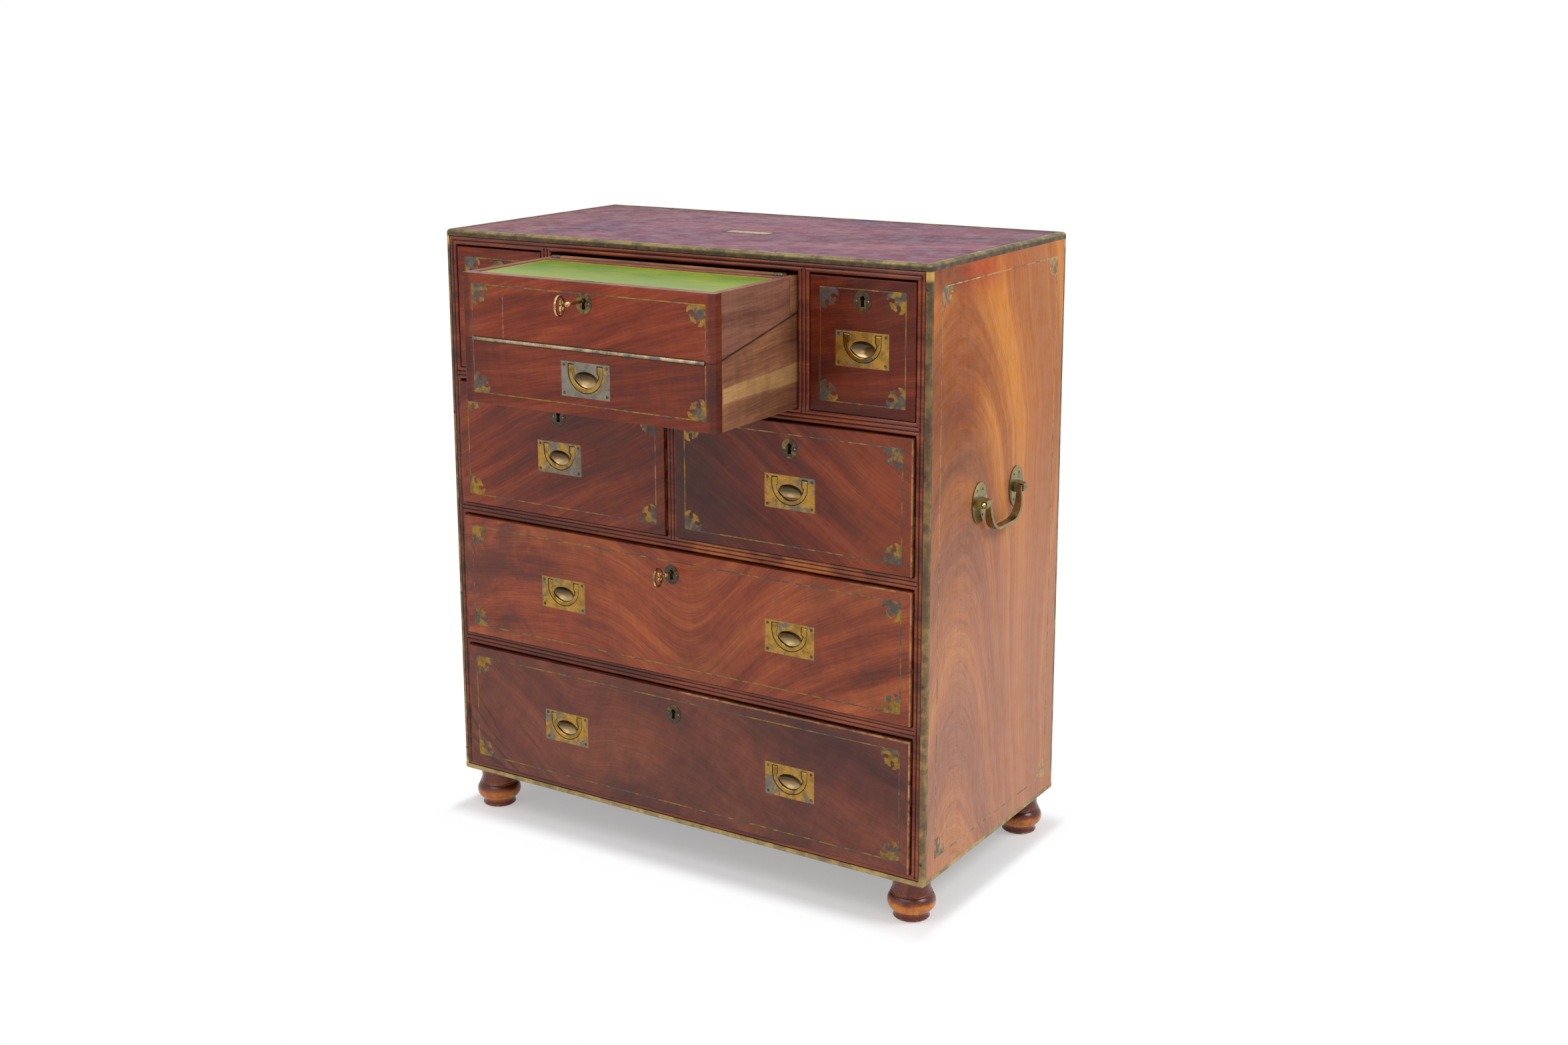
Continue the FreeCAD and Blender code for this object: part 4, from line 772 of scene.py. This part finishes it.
def front_panel(node):
    low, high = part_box(node)
    return Panel(low, (1, 0, 0), (0, 0, 1), high.x - low.x, high.z - low.z)


def ring_at(mesh, place, axis, spin, points):
    """A ring of points, turned from +Z to the axis after a spin about it, and moved to the place."""
    turn = Vector((0, 0, 1)).rotation_difference(Vector(axis)).to_matrix()
    turn = turn @ Matrix.Rotation(spin, 3, "Z")
    return ring_of(mesh, [Vector(place) + turn @ Vector(point) for point in points])


def screw(mesh, place, axis, radius, spin):
    """A slotted countersunk head, just proud of its plate: two half discs with a slot between them."""
    half_slot = SLOT_WIDTH / 2
    bottom, shoulder, crown = -0.25 * MM, 0.14 * MM, 0.3 * MM
    steps = 10
    for side in (-1, 1):
        rings = []
        for r, z in ((radius, bottom), (radius, shoulder), (radius * 0.62, crown)):
            start = math.asin(half_slot / r)
            angles = [start + (math.pi - 2 * start) * i / steps for i in range(steps + 1)]
            points = [(r * math.cos(a), side * r * math.sin(a), z) for a in angles]
            rings.append(ring_at(mesh, place, axis, spin, points))
        join(mesh, rings)
        mesh.faces.new(rings[-1])
    slot = [(radius * x, half_slot * y, bottom * 0.2) for x, y in ((-1, -1), (1, -1), (1, 1), (-1, 1))]
    mesh.faces.new(ring_at(mesh, place, axis, spin, slot))


def pin(mesh, place, axis, radius, rise):
    """A small domed pin head."""
    steps, rows = 12, 3
    rings = []
    for row in range(rows):
        angle = math.pi / 2 * row / rows
        r, z = radius * math.cos(angle), rise * math.sin(angle)
        turns = [2 * math.pi * i / steps for i in range(steps)]
        points = [(r * math.cos(a), r * math.sin(a), z) for a in turns]
        rings.append(ring_at(mesh, place, axis, 0, points))
    join(mesh, rings)
    top = ring_at(mesh, place, axis, 0, [(0, 0, rise)])[0]
    for i in range(steps):
        mesh.faces.new((rings[-1][i], rings[-1][(i + 1) % steps], top))


# --- materials ---

BRASSES = dict(
    flush_bails=dict(
        gold=(172, 134, 68), grey=(120, 104, 74), bare=0.85, scale=30, rough=0.24, seed=3.1),
    locks=dict(gold=(122, 104, 62), grey=(84, 78, 66), bare=0.4, scale=50, rough=0.36, seed=5.7),
    keys=dict(
        gold=(206, 174, 120), grey=(152, 132, 94), bare=0.75, scale=60, rough=0.2, seed=1.9, dirt_and_shade=0.4),
    brass_edgings=dict(
        gold=(128, 102, 62), grey=(88, 74, 56), old=(70, 58, 36), bare=0.35, scale=60, rough=0.4,
        seed=2.2, spread=0.14, dirt_and_shade=0.2, rubbed=0.3, metal=0.5, tint=edge_tint),
    corner_bindings=dict(
        gold=(148, 120, 74), grey=(112, 92, 66), old=(96, 78, 48), bare=0.5, scale=40, rough=0.4,
        seed=8.4, spread=0.12, dirt_and_shade=0.4, rubbed=0.6, metal=0.7, tint=edge_tint),
    inlay=dict(
        gold=(156, 122, 58), grey=(108, 100, 94), bare=0.5, scale=44, rough=0.38, seed=4.4,
        spread=0.05),
    side_inlay=dict(
        gold=(190, 154, 94), grey=(132, 114, 90), bare=0.65, scale=44, rough=0.42, seed=2.9,
        spread=0.05, metal=0.4),
    side_handles=dict(
        gold=(166, 148, 100), grey=(138, 126, 90), old=(116, 102, 64), bare=0.6, scale=30, rough=0.28,
        seed=6.3, spread=0.14, dirt_and_shade=0.45),
    hinge=dict(
        gold=(170, 158, 130), grey=(132, 124, 108), bare=0.7, scale=40, rough=0.34, seed=7.7,
        spread=0.06),
    name_plate=dict(
        gold=(208, 180, 138), grey=(190, 168, 142), old=(150, 118, 82), bare=0.45, scale=190, rough=0.6,
        seed=9.2),
)
PLATE = dict(
    gold=(184, 138, 54), grey=(138, 130, 114), old=(108, 80, 40), scale=40, rough=0.3, metal=0.6)
PLATE_GOLD = (0.6, 0.75, 0.5, 0.85, 0.7, 0.65, 0.35)  # gold's share of each plate
for order, (node, share) in enumerate(zip(PLATES, PLATE_GOLD)):
    BRASSES[node] = dict(PLATE, bare=share, seed=3.7 * order, face=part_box(node)[0].y)
METALS = {name: brass(name, **recipe) for name, recipe in BRASSES.items()}
METALS["screws"] = steel()

RED_BROWN = [(70, 22, 8), (120, 44, 20), (160, 72, 36)]
FRONT = dict(band=0.035, rough=0.33, wander=0.02)
FIGURED = dict(FRONT, weights=(0.5, 0.3, 0.2), mottle=0.05)
INNER = dict(tones=[(66, 28, 18), (96, 48, 32), (120, 68, 46)], rough=0.55, dirt_and_shade=0.3)
TIMBERS = dict(
    top_board=dict(
        figure=straight("xyz", 14, 0.5), tones=[(86, 44, 58), (122, 68, 87), (152, 92, 96)], seed=1.3,
        wander=0.11, band=0.1, fine=2, contrast=0.8, stain=((70, 40, 78), 0.55), wear=0.5, rough=0.42,
        sheen=0.12, tint=top_tint),
    side_boards=dict(
        figure=arched(-0.135, 6.7, 2.3, 0.03), tones=[(132, 72, 36), (174, 100, 36), (212, 134, 46)],
        seed=2.1, wander=0.06, band=0.17, fine=4, contrast=1.35, weights=(0.66, 0.26, 0.08), wear=0.3,
        rough=0.36, sheen=0.2, tint=side_tint),
    bottom_board=dict(
        figure=straight("xyz", 0), tones=[(70, 42, 28), (104, 66, 44), (134, 92, 62)], seed=3.7,
        rough=0.6, wear=0.2),
    drawer_rails=dict(INNER, figure=straight("xyz", 0), seed=4.9),
    uprights=dict(INNER, figure=straight("yzx", 0), seed=5.3),
    reeded_mouldings=dict(
        figure=straight("xzy", 0), tones=[(84, 30, 16), (128, 54, 30), (166, 82, 48)], seed=6.1,
        band=0.03, dirt_and_shade=1, dirt_and_shade_reach=6 * MM, wear=0.35, worn=(196, 104, 58), rough=0.28, coat=0.2,
        tint=rail_tint),
    bun_feet=dict(
        figure=straight("xzy", 80), tones=[(90, 34, 18), (138, 62, 34), (170, 88, 54)], seed=7.3,
        band=0.03, dirt_and_shade=0.5, wear=0.5, worn=(210, 160, 110), rough=0.26, coat=0.25, tint=turned_tint),
    back_panel=dict(
        figure=straight("xzy", 90), tones=[(70, 46, 32), (98, 66, 46), (122, 86, 60)], seed=8.8,
        band=0.08, rough=0.66, wear=0.2),
    small_left_front=dict(
        FRONT, figure=straight("xzy", 8), tones=RED_BROWN, seed=9.1, wander=0.03, contrast=0.7,
        mottle=0.06, stain=((52, 20, 18), 0.4)),
    small_right_front=dict(
        FRONT, figure=straight("xzy", 12, 0.4, 0.34), tones=[(56, 16, 6), (102, 35, 15), (142, 60, 28)],
        seed=10.7, wander=0.03, contrast=0.65, mottle=0.07, stain=((44, 15, 12), 0.6)),
    mid_left_front=dict(
        FIGURED, figure=straight("xzy", 27), tones=RED_BROWN, seed=11.9, contrast=0.8,
        stain=((52, 22, 22), 0.3), sheen=0.38),
    mid_right_front=dict(
        FIGURED, figure=straight("xzy", -33), tones=RED_BROWN, seed=12.2, contrast=0.85,
        stain=((52, 24, 22), 0.35), sheen=0.36, tint=painted_box_shadow_and_orange_end),
    lower_front=dict(
        FIGURED, figure=swirled(14, 0.04, 0.16, 0.13),
        tones=[(100, 39, 19), (158, 71, 38), (192, 102, 52)], seed=13.4, band=0.04, contrast=0.75,
        mottle=0.06, stain=((66, 32, 28), 0.45), wear=0.9, sheen=0.38, tint=lower_tint),
    bottom_front=dict(
        FRONT, figure=swirled(-24, -0.22, 0.12, 0.14),
        tones=[(84, 38, 30), (116, 56, 40), (148, 80, 52)], seed=14.6, wander=0.05, band=0.07,
        contrast=0.65, mottle=0.12, stain=((66, 34, 34), 0.55), wear=0.9, sheen=0.38, tint=bottom_tint),
    writing_lid_front=dict(
        FIGURED, figure=straight("xzy", 16), tones=[(92, 32, 14), (142, 55, 26), (174, 82, 42)],
        seed=15.2, wander=0.015, band=0.03, contrast=0.75, stain=((60, 24, 20), 0.25), wear=0.2,
        tint=scratched),
    writing_base_front=dict(
        FIGURED, figure=straight("xzy", 11), tones=[(80, 28, 14), (126, 49, 27), (158, 73, 40)],
        seed=16.8, wander=0.015, band=0.03, contrast=0.7, stain=((56, 26, 26), 0.55), wear=0.2,
        tint=smoked_ends),
    writing_lid_box=dict(
        figure=straight("yzx", 2), tones=[(92, 56, 44), (132, 86, 68), (158, 108, 84)], seed=17.5,
        rough=0.5, stain=((66, 40, 38), 0.6), wear=0.5, worn=(150, 100, 70), tint=open_seam),
    writing_base_box=dict(
        figure=straight("yzx", 2), tones=[(116, 72, 52), (158, 106, 72), (184, 130, 90)], seed=18.1,
        rough=0.55, stain=((84, 50, 38), 0.5), wear=0.5, worn=(150, 104, 74), tint=writing_side_tint),
    drawer_lining=dict(
        figure=straight("yzx", 2), tones=[(106, 66, 40), (142, 96, 60), (168, 122, 80)], seed=19.9,
        band=0.04, rough=0.58, wear=0.3, worn=(190, 150, 104)),
)
WOODS = {name: wood(name, **recipe) for name, recipe in TIMBERS.items()}
SHARED = dict(  # the finish of the nodes that have none of their own, by the last word of their names
    box="drawer_lining", bail="flush_bails", left="flush_bails", right="flush_bails", lock="locks",
    bolt="locks", key="keys", lower="hinge", upper="hinge",
)


def dress_nodes():
    """Gives every node of the frame its material."""
    finishes = {**WOODS, **METALS, "writing_leather": leather()}
    for node, thing in frame["nodes"].items():
        shared = "side_handles" if node.startswith("side_") else SHARED.get(node.split("_")[-1])
        thing.data.materials.clear()
        thing.data.materials.append(finishes[node if node in finishes else shared])
        smooth(thing)


# --- inlays, screws and pins ---


def inlay_writing_box():
    """The lid and the base share one rectangle, which the hinge cuts in two."""
    lid, base = front_panel("writing_lid_front"), front_panel("writing_base_front")
    left, right = INLAY_INSET, lid.width - INLAY_INSET
    top, bottom = lid.height - INLAY_INSET, INLAY_INSET
    above, below = STRING_GAPS[0], base.height - STRING_GAPS[1]
    path = [(left, above), (left, top), (right, top), (right, above)]
    corners = [(left, top, 1, -1), (right, top, -1, -1)]
    inlay("writing_lid_inlay", "writing_lid", lid, path, corners)
    path = [(left, below), (left, bottom), (right, bottom), (right, below)]
    corners = [(left, bottom, 1, 1), (right, bottom, -1, 1)]
    inlay("writing_base_inlay", "writing_box", base, path, corners)


def side_panel(way):
    """The carcass's right side, or its left one where way is -1, between the brass edgings."""
    low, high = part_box("brass_edgings")
    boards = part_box("side_boards")
    corner = (boards[1].x, low.y, low.z) if way > 0 else (boards[0].x, high.y, low.z)
    return Panel(corner, (0, way, 0), (0, 0, 1), high.y - low.y, high.z - low.z)


def lifted_string():
    """The stretch of the right side's upper stringing that has sprung a little out of its groove."""
    panel = side_panel(1)
    level = panel.height - SIDE_INSET
    steps = 24
    mesh = bmesh.new()
    rings = []
    for share in [i / steps for i in range(steps + 1)]:
        u = SIDE_INSET + LIFTED_START + LIFTED_LENGTH * share
        out = 0.25 * MM + LIFTED_RISE * math.sin(math.pi * share) ** 0.7
        half = (0.9 + 0.2 * math.sin(9 * share)) * MM
        section = ((-half, 0), (-half, 0.35 * MM), (half, 0.35 * MM), (half, 0))
        rings.append(ring_of(mesh, [panel.at(u, level + dv, out + thick) for dv, thick in section]))
    join(mesh, rings)
    mesh.faces.new(rings[0])
    mesh.faces.new(rings[-1][::-1])
    piece("side_lifted_string", mesh, "carcass", "keys")


def plate_screws():
    """Four slotted screws in each handle plate."""
    for node, body in PLATES.items():
        low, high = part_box(node)
        mesh = bmesh.new()
        spin = low.x * 37
        lefts = [low.x] if high.x - low.x < 2 * PLATE_WIDTH else [low.x, high.x - PLATE_WIDTH]
        for left in lefts:
            for x in (left + PLATE_SCREW_INSET, left + PLATE_WIDTH - PLATE_SCREW_INSET):
                for z in (low.z + PLATE_SCREW_INSET, high.z - PLATE_SCREW_INSET):
                    spin += 1.9
                    screw(mesh, (x, low.y, z), (0, -1, 0), PLATE_SCREW_R, spin)
        piece(node.replace("_plate", "_screws"), mesh, body, "screws")


def lock_pins():
    """A pin at each end of a lock's escutcheon, whose middle is found from the points on its face."""
    for node, body in LOCKS.items():
        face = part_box(node)[0].y
        points = [v.co for v in frame["nodes"][node].data.vertices if v.co.y < face + 0.1 * MM]
        sides, heights = [p.x for p in points], [p.z for p in points]
        x, z = (min(sides) + max(sides)) / 2, (min(heights) + max(heights)) / 2
        mesh = bmesh.new()
        for out in (-LOCK_PIN_SPREAD, LOCK_PIN_SPREAD):
            pin(mesh, (x + out, face, z), (0, -1, 0), LOCK_PIN_R, LOCK_PIN_RISE)
        piece(f"{node}_pins", mesh, body, "hinge")


def binding_screws():
    """Slotted screws down each corner binding, on its front and back legs."""
    low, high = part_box("corner_bindings")
    mesh = bmesh.new()
    spin = 0.4
    for x in (low.x + BINDING_SCREW_INSET, high.x - BINDING_SCREW_INSET):
        for y, way in ((low.y, -1), (high.y, 1)):
            for z in BINDING_SCREW_HEIGHTS:
                spin += 2.1
                screw(mesh, (x, y, z), (0, way, 0), BINDING_SCREW_R, spin)
    piece("binding_screws", mesh, "carcass", "screws")


def edging_pins():
    """Small pins along the top rim."""
    low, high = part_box("brass_edgings")
    width, depth = high.x - low.x, high.y - low.y
    across, back = int(width / EDGING_PIN_PITCH), int(depth / EDGING_PIN_PITCH)
    places = [(low.x + EDGING_PIN_END + (width - 2 * EDGING_PIN_END) * i / across, y)
              for y in (low.y + EDGING_PIN_INSET, high.y - EDGING_PIN_INSET) for i in range(across + 1)]
    places += [(x, low.y + depth * i / back)
               for x in (low.x + EDGING_PIN_INSET, high.x - EDGING_PIN_INSET) for i in range(1, back)]
    mesh = bmesh.new()
    for x, y in places:
        pin(mesh, (x, y, high.z), (0, 0, 1), EDGING_PIN_R, EDGING_PIN_RISE)
    piece("edging_pins", mesh, "carcass", "screws")


def side_screws():
    """Four screws in each oval plate of the side handles."""
    low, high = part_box("side_handle_plates")
    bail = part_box("side_bail_right")
    middle_y = (bail[0].y + bail[1].y) / 2
    middle_z = (low.z + high.z) / 2
    spread = high.y - middle_y - SIDE_PLATE_HALF
    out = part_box("side_boards")[1].x + SIDE_PLATE_THICK
    along, up = SIDE_SCREW_SPREAD
    mesh = bmesh.new()
    spin = 0
    for way in (1, -1):
        for plate_y in (middle_y - spread, middle_y + spread):
            for dy, dz in ((-along, up), (along, up), (-along, -up), (along, -up)):
                spin += 1.3
                place = (way * out, plate_y + dy, middle_z + dz)
                screw(mesh, place, (way, 0, 0), SIDE_SCREW_R, spin)
    piece("side_screws", mesh, "carcass", "screws")


def name_plate_pins():
    """Four pins round the name plate, of which two have wandered off its ends."""
    low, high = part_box("name_plate")
    middle_y = (low.y + high.y) / 2
    mesh = bmesh.new()
    for x, dy in ((low.x - 3 * MM, -2 * MM), (low.x + 11 * MM, 11.5 * MM),
                  (high.x + 3 * MM, 2 * MM), (high.x - 11 * MM, -11.5 * MM)):
        pin(mesh, (x, middle_y + dy, high.z - 0.3 * MM), (0, 0, 1), NAME_PIN_R, NAME_PIN_RISE)
    piece("name_plate_pins", mesh, "carcass", "screws")


def bar_straps():
    """A dark metal strap round each end of the bar behind the lid, with a screw."""
    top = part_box("writing_base_box")[1].z
    bar_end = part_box("writing_base_box")[1].x - BAR_INSET
    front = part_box("writing_lid_box")[1].y + 1 * MM
    back = front + BAR_DEPTH
    thick, shoulder, foot = STRAP_THICK, top - 1.6 * MM, top - STRAP_REACH
    profile = [(front - thick, foot), (front - thick, shoulder), (front + 1.4 * MM, top + thick),
               (back - 1.4 * MM, top + thick), (back + thick, shoulder), (back + thick, foot)]
    mesh = bmesh.new()
    for way in (-1, 1):
        inner, outer = way * (bar_end - STRAP_WIDTH), way * (bar_end - 0.5 * MM)
        edges = [ring_of(mesh, [(x, y, z) for y, z in profile]) for x in (inner, outer)]
        join(mesh, edges, closed=False)
        place = ((inner + outer) / 2, (front + back) / 2, top + thick)
        screw(mesh, place, (0, 0, 1), STRAP_SCREW_R, 0.7)
    piece("bar_straps", mesh, "writing_box", "screws")


# --- studio ---

CAMERA_PLACE = (1.71775741, -2.65917889, 1.37041)
CAMERA_TURN = (1.36421913, 0.00739675, 0.58180592)
CAMERA_LENS = 44.9482
CAMERA_SHIFT = (0.0323129, -0.0697279)
LAMPS = dict(  # place, target, size and power
    key=((2.6, 0.4, 2.9), (0.1, 0, 0.5), 1.6, 56),
    overhead=((-0.3, -1.4, 3), (0, -0.2, 0.5), 2.6, 34),
    fill=((-1.2, -3.2, 1.6), (0, 0, 0.5), 2.2, 9),
)
WORLD_STRENGTH = 0.38
FLOOR_HALF = 30
FLOOR_BELOW = 0.2 * MM
SHADED_HALF = (0.45, 0.23)  # half the width and depth of the floor under the chest
SIDE_FALLOFF = 2.4  # how much faster the floor grows white beside the chest than before it
FLOOR_LIFT = 0.36  # how much of the floor under the chest is shown white
FLOOR_OPEN = 0.98  # and how much of it, FLOOR_NEAR away
FLOOR_NEAR = 0.055
FLOOR_FAR = 0.5


def camera():
    data = bpy.data.cameras.new("camera")
    data.lens, data.sensor_width = CAMERA_LENS, 36
    data.shift_x, data.shift_y = CAMERA_SHIFT
    eye = added("camera", data)
    eye.location, eye.rotation_euler = CAMERA_PLACE, CAMERA_TURN
    scene.camera = eye


def lamp(name, place, target, size, power):
    data = bpy.data.lights.new(name, "AREA")
    data.shape, data.size, data.energy = "DISK", size, power
    light = added(name, data)
    light.location = place
    light.rotation_euler = (Vector(target) - Vector(place)).to_track_quat("-Z", "Y").to_euler()


def background_rays(s):
    """1 for rays that show the background itself or its reflection, 0 for light."""
    kinds = ("Is Camera Ray", "Is Glossy Ray", "Is Transmission Ray")
    seen, mirrored, through = [s.value(kind, "LightPath") for kind in kinds]
    return s.most(s.most(seen, mirrored), through)


def floor():
    """A pale floor that keeps the chest's shadow and runs out to white away from it."""
    s = Shader("floor")
    half_width, half_depth = SHADED_HALF
    beside = s.most(s.past(s.x, -half_width, half_width) * SIDE_FALLOFF, 0)
    before = s.most(s.past(s.y, -half_depth, half_depth), 0)
    far = s.math("SQRT", beside * beside + before * before)
    near_lift = s.step(far, 0, FLOOR_NEAR, FLOOR_LIFT, FLOOR_OPEN)
    lift = s.math("MINIMUM", near_lift + s.step(far, FLOOR_NEAR, FLOOR_FAR), 1)
    paint = s.value(0, "BsdfDiffuse", (0.93, 0.93, 0.94, 1))
    white = s.value(0, "Emission", (1, 1, 1, 1), 1)
    both = s.value(0, "MixShader", lift * background_rays(s), paint, white)
    mesh = bmesh.new()
    bmesh.ops.create_grid(mesh, x_segments=2, y_segments=2, size=FLOOR_HALF)
    ground = solid("floor", mesh, s.output(both))
    ground.location.z = -FLOOR_BELOW


def world():
    """White where it is seen or mirrored, and a weaker light elsewhere."""
    sky = bpy.data.worlds.new("studio")
    sky.use_nodes = True
    scene.world = sky
    s = Nodes(sky.node_tree)
    strength = s.step(background_rays(s), 0, 1, WORLD_STRENGTH, 1)
    s.node("OutputWorld", s.value(0, "Background", (1, 1, 1, 1), strength))


def main():
    scene.view_settings.view_transform = "Standard"
    camera()
    world()
    floor()
    for name, settings in LAMPS.items():
        lamp(name, *settings)
    dress_nodes()
    for node, body in FRONTS.items():
        inlaid_rectangle(node.replace("_front", "_inlay"), body, front_panel(node), INLAY_INSET)
    inlay_writing_box()
    for side, way in (("right", 1), ("left", -1)):
        inlaid_rectangle(f"side_inlay_{side}", "carcass", side_panel(way), SIDE_INSET, "side_inlay")
    lifted_string()
    plate_screws()
    lock_pins()
    binding_screws()
    edging_pins()
    side_screws()
    name_plate_pins()
    bar_straps()


main()
